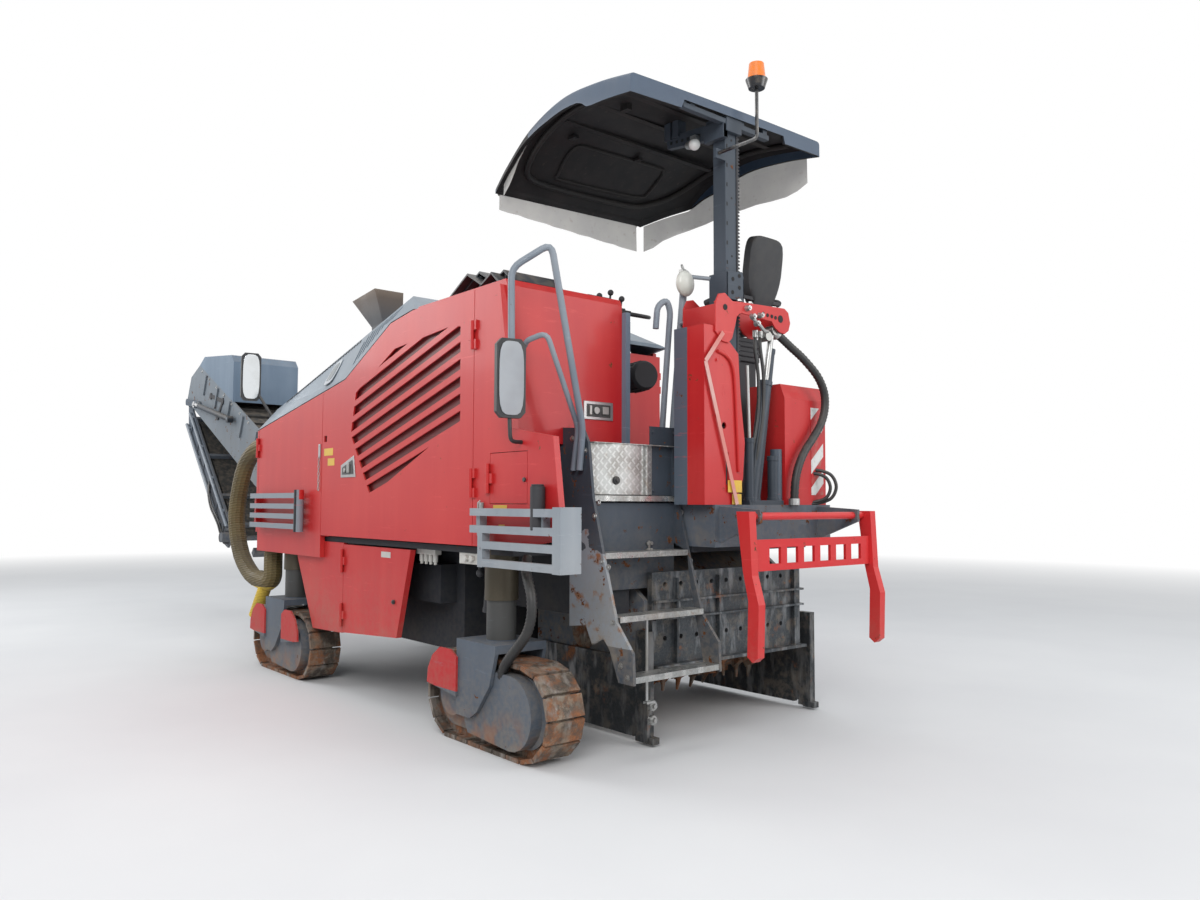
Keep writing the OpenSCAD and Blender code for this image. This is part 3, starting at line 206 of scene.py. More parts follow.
class Finish:
    """One procedural material."""

    def __init__(self, name, **constants):
        self.material = bpy.data.materials.new(name)
        self.material.use_nodes = True
        self.tree = self.material.node_tree
        self.shader = self.tree.nodes["Principled BSDF"]
        self.place = self.node("ShaderNodeTexCoord", output="Object")
        self.x, self.y, self.z = self.split(self.place)
        for socket, value in constants.items():
            self.shader.inputs[socket.replace("_", " ")].default_value = value

    def node(self, kind, settings=None, inputs=None, output=0):
        """Adds a node of any kind: its settings first, then the values or wires of its sockets."""
        made = self.tree.nodes.new(kind)
        for name, value in (settings or {}).items():
            setattr(made, name, value)
        for key, value in (inputs or {}).items():
            if isinstance(value, Wire):
                self.tree.links.new(value.socket, made.inputs[key])
            else:
                made.inputs[key].default_value = value
        return Wire(self, made.outputs[output])

    def noise(self, scale, detail=3.0, stretch=None, rough=0.55):
        place = self.place
        if stretch:
            place = self.node("ShaderNodeVectorMath", {"operation": "MULTIPLY"}, {0: place, 1: stretch})
        return self.node("ShaderNodeTexNoise", None, {"Vector": place, "Scale": scale, "Detail": detail, "Roughness": rough})

    def split(self, wire):
        """The three parts of a vector."""
        made = self.node("ShaderNodeSeparateXYZ", None, {0: wire}).socket.node
        return [Wire(self, part) for part in made.outputs]

    def slope(self):
        """The upward part of the surface's normal."""
        return self.split(self.node("ShaderNodeTexCoord", output="Normal"))[2]

    def up(self):
        """1 where the surface looks up, 0 on walls and undersides."""
        return self.slope().limited()

    def down(self):
        """1 where the surface looks down, 0 on walls and tops."""
        return (self.slope() * -1).limited()

    def along(self, low, high):
        """1 between two places along the machine, in millimetres."""
        return (self.x > at(low, 0, 0).x) * (self.x < at(high, 0, 0).x)

    def shade(self, mask, below, above):
        """below where mask is 0, above where it is 1; each a colour or a wire."""
        inputs = {"Factor": mask, 6: below, 7: above}
        for key in (6, 7):
            if not isinstance(inputs[key], Wire):
                inputs[key] = (*inputs[key], 1)
        return self.node("ShaderNodeMix", {"data_type": "RGBA"}, inputs, output=2)

    def box_mask(self, low, high):
        """1 inside a box given by two points of the row frame."""
        mask = None
        for wire, a, b in zip((self.x, self.y, self.z), low, high):
            inside = (wire > a) * (wire < b)
            mask = inside if mask is None else mask * inside
        return mask

    def finish(self, base, roughness=None, metallic=None, height=None, depth=0.004, coat=None):
        wires = {"Base Color": base, "Roughness": roughness, "Metallic": metallic, "Coat Weight": coat}
        for socket, value in wires.items():
            if isinstance(value, Wire):
                self.tree.links.new(value.socket, self.shader.inputs[socket])
            elif value is not None:
                self.shader.inputs[socket].default_value = (*value, 1) if socket == "Base Color" else value
        if height is not None:
            bump = self.node("ShaderNodeBump", None, {"Height": height, "Distance": depth, "Strength": 0.6})
            self.tree.links.new(bump.socket, self.shader.inputs["Normal"])
        return self.material


def painted(name, base, worn, gloss=0.35, dirt_top=1.0, rust_share=0.0, dust_share=0.5, coat=0.0, also=None):
    """Enamel that has faded, gathered dust low down and on top, and been scuffed and chipped."""
    f = Finish(name, Coat_Roughness=0.12, Specular_IOR_Level=0.32)
    cloud = f.noise(0.8, 4).over(0.35, 0.68)
    streak = f.noise(1.0, 5, stretch=(7, 7, 0.7)).over(0.42, 0.72)
    grit = f.noise(28, 5)
    fine = f.noise(160, 3)
    tone = f.shade((cloud * 0.7 + streak * 0.3).limited(), base, worn)
    if also:
        tone = also(f, tone)
    low = 1 - f.z.over(dirt_top * 0.25, dirt_top)
    lying = (low * 0.75 + f.up() * 0.55) * grit.over(0.3, 0.62) * dust_share
    dusty = (lying + low * f.noise(3, 5).over(0.5, 0.7) * dust_share).limited()
    tone = f.shade(dusty, tone, colour("dust"))
    scuff = f.noise(4.0, 7, stretch=(0.7, 0.7, 7), rough=0.75).over(0.60, 0.70) * 0.35
    tone = f.shade(scuff.limited(), tone, tuple(min(1, 1.25 * c + 0.04) for c in worn))
    chips = f.noise(11, 9, rough=0.72)
    chip = chips.over(0.685 - 0.12 * rust_share, 0.70 - 0.12 * rust_share)
    bare = f.shade(f.noise(60).over(0.4, 0.6), colour("rust"), times(0.5, colour("rust")))
    tone = f.shade(chip, tone, bare)
    roughness = (gloss + cloud * 0.10 + dusty * 0.4 + chip * 0.35 + fine * 0.06).limited()
    return f.finish(tone, roughness, None, fine * 0.15 + grit * 0.2 - chip * 0.9, 0.0016, coat)


def rusted(name, base, bright, share=0.5, mud=0.5, gloss=0.55, metal=0.7):
    """Bare steel: rust in patches, dried mud, and places polished by the ground."""
    f = Finish(name)
    patch = f.noise(5.5, 7, rough=0.68)
    grain = f.noise(70, 5, rough=0.7)
    big = f.noise(1.9, 4)
    tone = f.shade(grain.over(0.3, 0.7), base, times(0.55, base))
    rust = patch.over(0.62 - 0.22 * share, 0.70 - 0.16 * share)
    flakes = f.shade(grain.over(0.35, 0.65), colour("rust"), times(1.9, colour("rust")))
    tone = f.shade(rust * 0.9, tone, flakes)
    caked = (f.noise(9, 6, rough=0.75).over(0.48, 0.6) * big.over(0.35, 0.6) * mud).limited()
    tone = f.shade(caked, tone, colour("dust"))
    shine = (1 - rust) * (1 - caked) * f.noise(14, 4, stretch=(1, 1, 0.3)).over(0.5, 0.66)
    tone = f.shade(shine * 0.6, tone, bright)
    metallic = ((1 - rust) * (1 - caked) * metal).limited()
    roughness = (gloss + rust * 0.3 + caked * 0.35 - shine * 0.22 + grain * 0.1).limited()
    return f.finish(tone, roughness, metallic, patch * 0.6 + grain * 0.35 + caked * 0.5, 0.004)


def plain(name, base, worn, rough=0.5, metallic=0.0, grain=60, depth=0.0008, dusting=0.3):
    """Plastic, rubber, glass or lacquer with a fine grain, a little dust and uneven sheen."""
    f = Finish(name, Metallic=metallic)
    cloud = f.noise(2.2, 4)
    fine = f.noise(grain, 4)
    tone = f.shade(cloud.over(0.35, 0.65), base, worn)
    dust = ((f.up() * 0.6 + 0.15) * f.noise(18, 5).over(0.42, 0.68) * dusting).limited()
    tone = f.shade(dust, tone, colour("dust"))
    return f.finish(tone, (cloud * 0.16 + dust * 0.5 + (rough - 0.08)).limited(), None, fine, depth)


def diamond_plate(name):
    """Chequered aluminium: short raised bars, turned the other way in each second row."""
    f = Finish(name)
    u, v = (f.x + f.y) * 15, f.z * 15 + f.x * 15

    def bars(p, q):
        a, b = (p.fraction() - 0.5).size(), (q.fraction() - 0.5).size()
        return (a < 0.36) * (b < 0.12)

    raised = (bars(u + v, u - v + 0.25) + bars(u - v + 0.5, u + v + 0.75)).limited()
    worn = f.noise(6, 5)
    tone = f.shade(worn.over(0.4, 0.62), (0.42, 0.43, 0.42), (0.27, 0.26, 0.24))
    tone = f.shade(raised * 0.55, tone, (0.62, 0.63, 0.62))
    tone = f.shade(f.noise(14, 6).over(0.58, 0.72) * 0.6, tone, colour("dust"))
    return f.finish(tone, (worn * 0.3 + 0.32).limited(), (1 - worn.over(0.55, 0.75)) * 0.7, raised, 0.002)


# Mesh code


def smooth_path(points, steps=8):
    """A curve through every point."""
    p = [Vector(q) for q in points]
    out = []
    for i in range(len(p) - 1):
        a, b, c, d = p[max(i - 1, 0)], p[i], p[i + 1], p[min(i + 2, len(p) - 1)]
        for k in range(steps):
            t = k / steps
            out.append(0.5 * (2 * b + (c - a) * t + (2 * a - 5 * b + 4 * c - d) * t * t + (3 * b - a - 3 * c + d) * t**3))
    return out + [p[-1]]


def rings_along(path):
    """Two side directions at each point of a path, carried along it without twist."""
    side, frames = None, []
    for i, p in enumerate(path):
        ahead = (path[min(i + 1, len(path) - 1)] - path[max(i - 1, 0)]).normalized()
        if side is None:
            side = ahead.orthogonal().normalized()
        side = (side - side.dot(ahead) * ahead).normalized()
        frames.append((p, side, ahead.cross(side)))
    return frames


def add_tube(bm, path, radius, sides=12, ribs=0.0):
    """A round tube; with ribs, each second ring is drawn in by that share."""
    turns = [2 * math.pi * k / sides for k in range(sides)]
    loops = []
    for i, (p, s, u) in enumerate(rings_along(path)):
        r = radius * (1 - ribs * (i % 2))
        loops.append([p + r * (math.cos(a) * s + math.sin(a) * u) for a in turns])
    add_loft(bm, loops)


def add_box(bm, low, high):
    """A box between two corners."""
    made = bmesh.ops.create_cube(bm, size=1.0)["verts"]
    bmesh.ops.scale(bm, vec=high - low, verts=made)
    bmesh.ops.translate(bm, vec=(low + high) / 2, verts=made)


def add_prism(bm, outline, depth):
    """Closed outline of points, pushed out along the vector depth."""
    depth = Vector(depth)
    front = [bm.verts.new(Vector(p)) for p in outline]
    back = [bm.verts.new(Vector(p) + depth) for p in outline]
    n = len(front)
    bm.faces.new(front)
    bm.faces.new(list(reversed(back)))
    for k in range(n):
        bm.faces.new((front[k], back[k], back[(k + 1) % n], front[(k + 1) % n]))


def between(table, x):
    """The value of a table of (place, value) pairs at x."""
    for (a, low), (b, high) in zip(table, table[1:]):
        if x <= b:
            return low + (high - low) * max(0.0, (x - a) / (b - a))
    return table[-1][1]


def add_loft(bm, loops):
    """A closed solid through loops of points that all have the same count."""
    rings = [[bm.verts.new(p) for p in loop] for loop in loops]
    n = len(rings[0])
    for a, b in zip(rings, rings[1:]):
        for k in range(n):
            bm.faces.new((a[k], a[(k + 1) % n], b[(k + 1) % n], b[k]))
    bm.faces.new(list(reversed(rings[0])))
    bm.faces.new(rings[-1])


def add_flap(bm, top, bottom, push, rows=4, ripple=0.0):
    """A thin hanging sheet between two lists of points; returns its area."""
    sides = []
    for side in (0, 1):
        sides.append([
            [bm.verts.new(a.lerp(b, r / rows) + push * (side + ripple * (r / rows) * math.sin(2.3 * k)))
             for r in range(rows + 1)]
            for k, (a, b) in enumerate(zip(top, bottom))
        ])
    front, back = sides
    area = 0.0
    for k in range(len(top) - 1):
        for r in range(rows):
            face = bm.faces.new((front[k][r], front[k][r + 1], front[k + 1][r + 1], front[k + 1][r]))
            area += face.calc_area()
            bm.faces.new((back[k][r], back[k + 1][r], back[k + 1][r + 1], back[k][r + 1]))
        for r in (0, rows):
            bm.faces.new((front[k][r], front[k + 1][r], back[k + 1][r], back[k][r]))
    for k in (0, len(top) - 1):
        for r in range(rows):
            bm.faces.new((front[k][r], back[k][r], back[k][r + 1], front[k][r + 1]))
    return area


def add_round(bm, centre, direction, radius, depth, sides=20, tip=None):
    """A short cylinder or cone from centre along a direction."""
    direction = Vector(direction).normalized()
    turn = direction.to_track_quat("Z", "Y").to_matrix().to_4x4()
    place = Matrix.Translation(Vector(centre) + direction * depth / 2) @ turn
    bmesh.ops.create_cone(
        bm, cap_ends=True, segments=sides, radius1=radius, radius2=radius if tip is None else tip, depth=depth, matrix=place
    )


def add_bolt(bm, centre, direction, width):
    """A hexagon head on a washer."""
    direction = Vector(direction).normalized()
    add_round(bm, centre, direction, width * 0.75, width * 0.12, 16)
    add_round(bm, Vector(centre) + direction * width * 0.12, direction, width * 0.5, width * 0.4, 6, width * 0.44)


def make_piece(name, bm, body, material, bevel=0.0, smooth=None):
    bmesh.ops.recalc_face_normals(bm, faces=bm.faces)
    mesh = bpy.data.meshes.new(name)
    bm.to_mesh(mesh)
    bm.free()
    piece = bpy.data.objects.new(name, mesh)
    bpy.context.scene.collection.objects.link(piece)
    mesh.materials.append(material)
    if bevel:
        edge = piece.modifiers.new("edges", "BEVEL")
        edge.width, edge.segments, edge.limit_method = bevel, 2, "ANGLE"
    if smooth is not None:
        mesh.shade_smooth()
        mesh.set_sharp_from_angle(angle=math.radians(smooth))
    if body:
        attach(piece, body)
    return piece


def path_length(path):
    return sum((b - a).length for a, b in zip(path, path[1:]))


def make_hose(name, path, diameter, body, material, ribs=0.0):
    """A hose whose two ends go into the machine."""
    bm = bmesh.new()
    add_tube(bm, path, diameter / 2, 12, ribs)
    piece = make_piece(name, bm, body, material, smooth=70)
    path_length(path)
    return piece


def dress(material, *names):
    """Gives CAD nodes a finish."""
    for name in names:
        node = NODES[name]
        if not node.material_slots:
            node.data.materials.append(material)
        for held in node.material_slots:
            held.material = material


# Operators: one for each group of pieces


class PLANER_OT_camera(bpy.types.Operator):
    """Puts the camera where the photograph was taken"""

    bl_idname = "planer.camera"
    bl_label = "Camera"

    def execute(self, context):
        yaw, pitch, roll = (math.radians(a) for a in (-40.19, 3.31, 0.19))
        ahead = Vector((math.cos(pitch) * math.cos(yaw), math.cos(pitch) * math.sin(yaw), math.sin(pitch)))
        right = Vector((math.sin(yaw), -math.cos(yaw), 0))
        up = right.cross(ahead)
        right, up = (
            math.cos(roll) * right + math.sin(roll) * up,
            math.cos(roll) * up - math.sin(roll) * right,
        )
        data = bpy.data.cameras.new("photo_camera")
        data.lens, data.sensor_width, data.sensor_fit = 27.38, 36, "HORIZONTAL"
        data.clip_start, data.clip_end = 0.05, 400
        camera = bpy.data.objects.new("photo_camera", data)
        camera.matrix_world = Matrix.Translation(at(-4754, 4306, 1500)) @ Matrix((right, up, -ahead)).transposed().to_4x4()
        context.scene.collection.objects.link(camera)
        context.scene.camera = camera
        return {"FINISHED"}


class PLANER_OT_stage(bpy.types.Operator):
    """Pale floor, white surroundings and soft studio light"""

    bl_idname = "planer.stage"
    bl_label = "Stage"

    def execute(self, context):
        bm = bmesh.new()
        bmesh.ops.create_circle(bm, cap_ends=True, segments=96, radius=60)
        mesh = bpy.data.meshes.new("floor")
        bm.to_mesh(mesh)
        bm.free()
        floor = bpy.data.objects.new("floor", mesh)
        floor.location.z = -0.001
        context.scene.collection.objects.link(floor)
        f = Finish("floor_pale")
        speck = f.noise(0.6, 3)
        tone = f.shade(speck.over(0.3, 0.7), (0.66, 0.66, 0.66), (0.70, 0.70, 0.695))
        mesh.materials.append(f.finish(tone, 0.9))
        far = (f.x * f.x + f.y * f.y).over(40.0, 420.0) * f.node("ShaderNodeLightPath", output=0)
        white = f.node("ShaderNodeEmission", None, {"Color": (1, 1, 1, 1), "Strength": 1.0})
        lit = Wire(f, f.shader.outputs[0])
        mixed = f.node("ShaderNodeMixShader", None, {0: far, 1: lit, 2: white})
        f.tree.links.new(mixed.socket, f.tree.nodes["Material Output"].inputs[0])

        world = bpy.data.worlds.new("studio")
        context.scene.world = world
        world.use_nodes = True
        nodes, links = world.node_tree.nodes, world.node_tree.links
        nodes.clear()
        path = nodes.new("ShaderNodeLightPath")
        seen = nodes.new("ShaderNodeMath")
        seen.operation = "MAXIMUM"
        links.new(path.outputs["Is Camera Ray"], seen.inputs[0])
        links.new(path.outputs["Is Transmission Ray"], seen.inputs[1])
        shown = nodes.new("ShaderNodeMath")
        shown.operation = "MAXIMUM"
        links.new(seen.outputs[0], shown.inputs[0])
        links.new(path.outputs["Is Glossy Ray"], shown.inputs[1])
        light = nodes.new("ShaderNodeBackground")
        light.inputs["Color"].default_value = (0.86, 0.92, 1.0, 1)
        light.inputs["Strength"].default_value = 0.50
        white = nodes.new("ShaderNodeBackground")
        white.inputs["Color"].default_value = (1, 1, 1, 1)
        white.inputs["Strength"].default_value = 1.0
        mix = nodes.new("ShaderNodeMixShader")
        links.new(shown.outputs[0], mix.inputs[0])
        links.new(light.outputs[0], mix.inputs[1])
        links.new(white.outputs[0], mix.inputs[2])
        out = nodes.new("ShaderNodeOutputWorld")
        links.new(mix.outputs[0], out.inputs[0])

        for name, place, aim, reach, power in (
            ("key", (-7500, 8500, 8200), (300, 0, 1500), 6.0, 820),
            ("fill", (-9000, -5500, 5200), (500, 0, 1200), 6.0, 420),
            ("front", (11500, 6000, 7000), (2500, 0, 1500), 6.0, 520),
            ("top", (1500, 0, 10500), (1500, 0, 0), 9.0, 420),
        ):
            data = bpy.data.lights.new(name, "AREA")
            data.shape, data.size, data.energy = "SQUARE", reach, power
            lamp = bpy.data.objects.new(name, data)
            lamp.location = at(*place)
            lamp.rotation_mode = "QUATERNION"
            lamp.rotation_quaternion = (at(*aim) - at(*place)).to_track_quat("-Z", "Y")
            context.scene.collection.objects.link(lamp)
        context.scene.view_settings.view_transform = "Standard"
        return {"FINISHED"}


class PLANER_OT_paint_red(bpy.types.Operator):
    """Sun-worn red enamel on the doors, tower, carrier and housing"""

    bl_idname = "planer.paint_red"
    bl_label = "Red enamel"

    def execute(self, context):
        red, faded = colour("red"), colour("red_faded")
        # painted shade colour for the louvres' recesses
        dark = times(0.22, red)

        def painted_louvre_shade(f, tone):
            """Painted shade: darker red inside the pressed louvres' recesses, where shade falls."""
            side = f.y.size()
            return f.shade((side < 1.1935) * (side > 1.12) * (f.z > 1.3) * (f.z < 2.75), tone, dark)

        def rails(f, tone):
            """Bumper rails stay grey, and the gas spring beside them is black."""
            rails_out, spring_out = 1.2875, 1.212  # metres from the middle plane
            spring = (f.y.size() > spring_out) * f.along(2600, 2800) * (f.z < 1.52)
            proud = ((f.y.size() > rails_out) + spring).limited()
            tone = f.shade(proud, tone, colour("rail_grey"))
            return f.shade(proud * f.along(2655, 2706) * (f.z < 1.6), tone, colour("hull_dark"))

        dress(painted("red_flank", red, faded, 0.36, 1.25, 0.1, 0.32, 0.14), "hood", "rear_panel", "small_door")
        dress(painted("red_louvres", red, faded, 0.36, 1.25, 0.1, 0.3, 0.14, painted_louvre_shade),
              "louvre_door_left", "louvre_door_right")
        dress(painted("red_front_doors", red, faded, 0.36, 1.25, 0.1, 0.3, 0.14, rails),
              "front_door_left", "front_door_right")
        dress(painted("red_low", red, faded, 0.42, 1.2, 0.15, 0.28, 0.1), "fender_left", "fender_right", "lower_door")
        dress(painted("red_carrier", times(1.25, red), faded, 0.38, 0.9, 0.35, 0.35, 0.15), "carrier")

        def slate_wall(f, tone):
            """The wall behind the posts is slate; only its rear edge is red."""
            wall = f.box_mask(at(-640, 40, 1480), at(-500, 110, 2660))
            return f.shade(wall, tone, times(1.5, colour("slate")))

        dress(painted("red_mast", red, faded, 0.38, 1.0, 0.3, 0.3, 0.14, slate_wall), "mast_housing")

        def grey_post(f, tone):
            """The cabinet's left post is slate."""
            return f.shade(f.y > at(0, -704, 0).y, tone, colour("slate"))

        dress(painted("red_cabinet", red, faded, 0.36, 1.0, 0.2, 0.3, 0.16, grey_post), "cabinet")
        return {"FINISHED"}


class PLANER_OT_paint_grey(bpy.types.Operator):
    """Slate, belt grey and rail grey paint, scuffed and dusty"""

    bl_idname = "planer.paint_grey"
    bl_label = "Grey paints"

    def execute(self, context):
        slate = colour("slate")
        pale = times(1.8, slate)
        dress(painted("slate_frame", slate, pale, 0.45, 1.7, 0.75, 0.75), "rear_base", "belt_yoke", "drum_box")
        dress(painted("slate_wall", times(2.2, slate), times(3.4, slate), 0.4, 1.0, 0.2, 0.3), "inner_wall")
        stone = (0.26, 0.29, 0.32)

        def bare_guard(f, tone):
            """The torn guard beside the steps: pale where its paint is left, rusted along its edges."""
            ragged = f.noise(3.5, 6).over(0.40, 0.62) * 0.16 + 1.18
            below = (f.z < ragged) * (f.z > 0.66) * (f.y > at(0, 740, 0).y)
            bitten = f.noise(7, 7).over(0.57, 0.64)
            return f.shade(below, tone, f.shade(bitten, stone, times(1.5, colour("rust"))))

        dress(painted("slate_ladder", times(0.6, slate), slate, 0.45, 1.5, 0.7, 0.55, 0.0, bare_guard), "ladder")
        dress(painted("shoulder_grey", (0.16, 0.20, 0.24), (0.24, 0.29, 0.34), 0.4, 1.0, 0.1, 0.4), "hood_top")
        dress(painted("floor_grey", (0.17, 0.20, 0.22), (0.30, 0.32, 0.33), 0.5, 2.2, 0.3, 0.8), "platform")
        dress(painted("tube_grey", (0.13, 0.16, 0.20), (0.34, 0.37, 0.40), 0.35, 0.9, 0.3, 0.25), "handrails")
        dress(painted("rail_paint", colour("rail_grey"), (0.36, 0.38, 0.40), 0.42, 1.3, 0.3, 0.6), "bumper_rear_left")
        grey = colour("belt_grey")
        dress(painted("belt_wall", grey, (0.21, 0.235, 0.26), 0.5, 2.6, 0.6, 0.6), "belt_lower")
        dress(painted("belt_upper_paint", slate, times(1.5, slate), 0.5, 2.6, 0.5, 0.5), "belt_upper")
        dress(painted("belt_cover", (0.10, 0.15, 0.21), (0.19, 0.25, 0.32), 0.45, 1.0, 0.2, 0.6), "belt_hood")
        dark = colour("hull_dark")
        dusty = times(2.2, dark)
        dress(painted("hull_paint", dark, dusty, 0.6, 1.4, 0.1, 0.12), "chassis", "engine", "feed_belt")
        dress(painted("cylinder_paint", dark, slate, 0.4, 1.5, 0.2, 0.6), "lift_barrels", "fold_barrels")
        leg = painted("leg_bronze", (0.050, 0.042, 0.028), (0.095, 0.080, 0.055), 0.35, 1.2, 0.3, 0.12)
        leg.node_tree.nodes["Principled BSDF"].inputs["Metallic"].default_value = 0.35
        dress(leg, "leg_tubes")
        return {"FINISHED"}


class PLANER_OT_tracks(bpy.types.Operator):
    """Track frames with red mudguards, and rusted shoes with dried mud"""

    bl_idname = "planer.tracks"
    bl_label = "Tracks"

    def execute(self, context):
        slate, red = colour("slate"), colour("red")
        pale = times(1.7, slate)
        for side in ("front_left", "front_right", "rear_left", "rear_right"):
            leg = 1086 if side.endswith("left") else -1086
            out = 1 if leg > 0 else -1

            def guards(f, tone, leg=leg, out=out):
                """Rust low down, a dirty post, and the red mudguard outside."""
                outer = (f.y * out) > (leg * out + 189.5) / 1000 - 0.035 * out
                rust_band = (1 - f.z.over(0.10, 0.30)) * f.noise(5, 6).over(0.48, 0.60) * 0.75
                tone = f.shade(rust_band, tone, times(1.5, colour("rust")))
                post = (f.z > 0.66) * ((f.y * out) < (leg * out + 175) / 1000 - 0.035 * out)
                tone = f.shade(post * 0.8, tone, (0.060, 0.055, 0.045))
                return f.shade(outer * (f.z > 0.33), tone, red)

            dress(painted("track_paint_" + side, slate, pale, 0.45, 0.7, 0.12, 0.45, 0.0, guards), "track_" + side)
        shoes = rusted("shoe_steel", (0.13, 0.105, 0.085), (0.42, 0.38, 0.34), 0.75, 0.9, 0.55, 0.6)
        dress(shoes, *("loop_" + s for s in ("front_left", "front_right", "rear_left", "rear_right")))
        return {"FINISHED"}


class PLANER_OT_bare_metal(bpy.types.Operator):
    """Drum, scraper, side plates, treads and rods"""

    bl_idname = "planer.bare_metal"
    bl_label = "Bare metal"

    def execute(self, context):
        dress(rusted("drum_steel", (0.12, 0.08, 0.055), (0.45, 0.42, 0.38), 0.9, 0.8, 0.6, 0.5), "drum")
        dress(rusted("plate_steel", (0.060, 0.066, 0.072), (0.28, 0.28, 0.28), 0.15, 0.45),
              "side_plate_left", "side_plate_right")
        dress(rusted("scraper_steel", (0.085, 0.095, 0.105), (0.30, 0.31, 0.32), 0.05, 0.4), "scraper")
        dress(rusted("tread_steel", (0.42, 0.43, 0.42), (0.62, 0.62, 0.60), 0.05, 0.5, 0.35, 0.85), "treads")
        rod = Finish("rod_chrome", Metallic=1.0)
        wipe = rod.noise(5, 4, stretch=(0.4, 3, 3))
        tone = rod.shade(wipe.over(0.45, 0.7) * 0.6, (0.70, 0.71, 0.73), (0.42, 0.40, 0.36))
        dress(rod.finish(tone, (wipe * 0.25 + 0.06).limited()), "lift_rods", "fold_rods")
        return {"FINISHED"}


class PLANER_OT_rubber_and_plastic(bpy.types.Operator):
    """Belts, console, mirrors, beacon and suction hose"""

    bl_idname = "planer.rubber_and_plastic"
    bl_label = "Rubber and plastic"

    def execute(self, context):
        dress(plain("belt_rubber", (0.018, 0.018, 0.019), (0.045, 0.043, 0.04), 0.75, dusting=0.7),
              "belt_lower_band", "belt_upper_band")
        black = plain("black_plastic", (0.012, 0.013, 0.015), (0.04, 0.042, 0.045), 0.5, dusting=0.45)
        dress(black, "console", "steering_wheel", "mirrors")
        amber = Finish("beacon_amber", Coat_Weight=0.4)
        dome = amber.z > 4.34
        tone = amber.shade(dome * (amber.z < 4.452), (0.02, 0.02, 0.022), (0.85, 0.20, 0.015))
        tone = amber.shade(amber.noise(30, 4).over(0.5, 0.75) * 0.4, tone, colour("dust"))
        dress(amber.finish(tone, (amber.noise(20) * 0.3 + 0.15).limited()), "beacon")
        hose = Finish("hose_olive")
        ribs = ((hose.z + hose.x * 0.25) * 260).wave() * 0.5 + 0.5
        cloud = hose.noise(3, 5)
        tone = hose.shade(cloud.over(0.35, 0.65), colour("olive"), times(1.9, colour("olive")))
        # Painted shade: darker olive in the grooves between the hose's ribs.
        tone = hose.shade((1 - ribs) * 0.35, tone, times(0.4, colour("olive")))
        sleeve = hose.z < 0.705
        tone = hose.shade(sleeve, tone, hose.shade(cloud.over(0.45, 0.6), colour("yellow"), (0.50, 0.36, 0.05)))
        dress(hose.finish(tone, (cloud * 0.3 + 0.45).limited(), None, ribs, 0.004), "dust_hose")
        return {"FINISHED"}


class PLANER_OT_shoulder(bpy.types.Operator):
    """Slots and inspection windows in the hood's shoulders; black pieces in the slots and holes are painted shade"""

    bl_idname = "planer.shoulder"
    bl_label = "Hood shoulders"

    def execute(self, context):
        line = ((900, 2845, 2865, 1140), (1230, 2800, 3020, 1060), (1980, 2465, 2837.5, 1060), (3860, 2170, 2380, 1060))

        def on_shoulder(x, share, lift=0.0):
            """A point of the shoulder: share 0 at the door's edge, 1 at the roof."""
            for a, b in zip(line, line[1:]):
                if a[0] <= x <= b[0]:
                    t = (x - a[0]) / (b[0] - a[0])
                    edge, roof, half = (a[i] + t * (b[i] - a[i]) for i in (1, 2, 3))
                    y, z = SIDE_Y + share * (half - SIDE_Y), edge + share * (roof - edge)
                    return Vector((x, y + 0.75 * lift, z + 0.65 * lift))

        hole_shade = plain("slot_black", (0.006, 0.006, 0.007), (0.012, 0.012, 0.014), 0.8)
        glass = plain("port_glass", (0.10, 0.13, 0.15), (0.16, 0.19, 0.21), 0.12)
        rim = plain("port_rim", (0.45, 0.48, 0.5), (0.35, 0.37, 0.4), 0.4)
        for side, out in (("left", 1), ("right", -1)):
            flip = lambda p: at(p.x, p.y * out, p.z)
            # Painted shade: a black sheet under the shoulder's slots stands for the shade inside the hood.
            bm = bmesh.new()
            add_prism(bm, [flip(on_shoulder(a, b, -62)) for a, b in ((1280, 0.16), (1960, 0.16), (1960, 0.90), (1280, 0.90))],
                      flip(on_shoulder(1600, 0.5, -58)) - flip(on_shoulder(1600, 0.5, -62)))
            make_piece("shoulder_backing_" + side, bm, "frame", hole_shade)
            # Painted shade: small black patches stand for the shade inside the roof's row of holes.
            bm = bmesh.new()
            for i in range(size("roof_holes")):
                x = 2060 + i * 52
                corners = [(x, 0.90), (x + 26, 0.90), (x + 26, 0.965), (x, 0.965)]
                add_prism(bm, [flip(on_shoulder(a, b, -1)) for a, b in corners], flip(on_shoulder(x, 0.9, 2)) - flip(on_shoulder(x, 0.9, -1)))
            make_piece("roof_holes_" + side, bm, "frame", hole_shade)
            for name, grow, lift, paint in (("port_rim_", 1.0, 5, rim), ("port_glass_", 0.72, 8, glass)):
                bm = bmesh.new()
                ring = []
                for k in range(24):
                    a = 2 * math.pi * k / 24
                    c, s = math.cos(a), math.sin(a)
                    r = (abs(c) ** 5 + abs(s) ** 5) ** -0.2
                    ring.append(flip(on_shoulder(2400 + 85 * grow * r * c, 0.5 + 0.30 * grow * r * s, -3)))
                add_prism(bm, ring, flip(on_shoulder(2400, 0.5, lift)) - flip(on_shoulder(2400, 0.5, -3)))
                make_piece(name + side, bm, "frame", paint, bevel=0.0015)
        return {"FINISHED"}


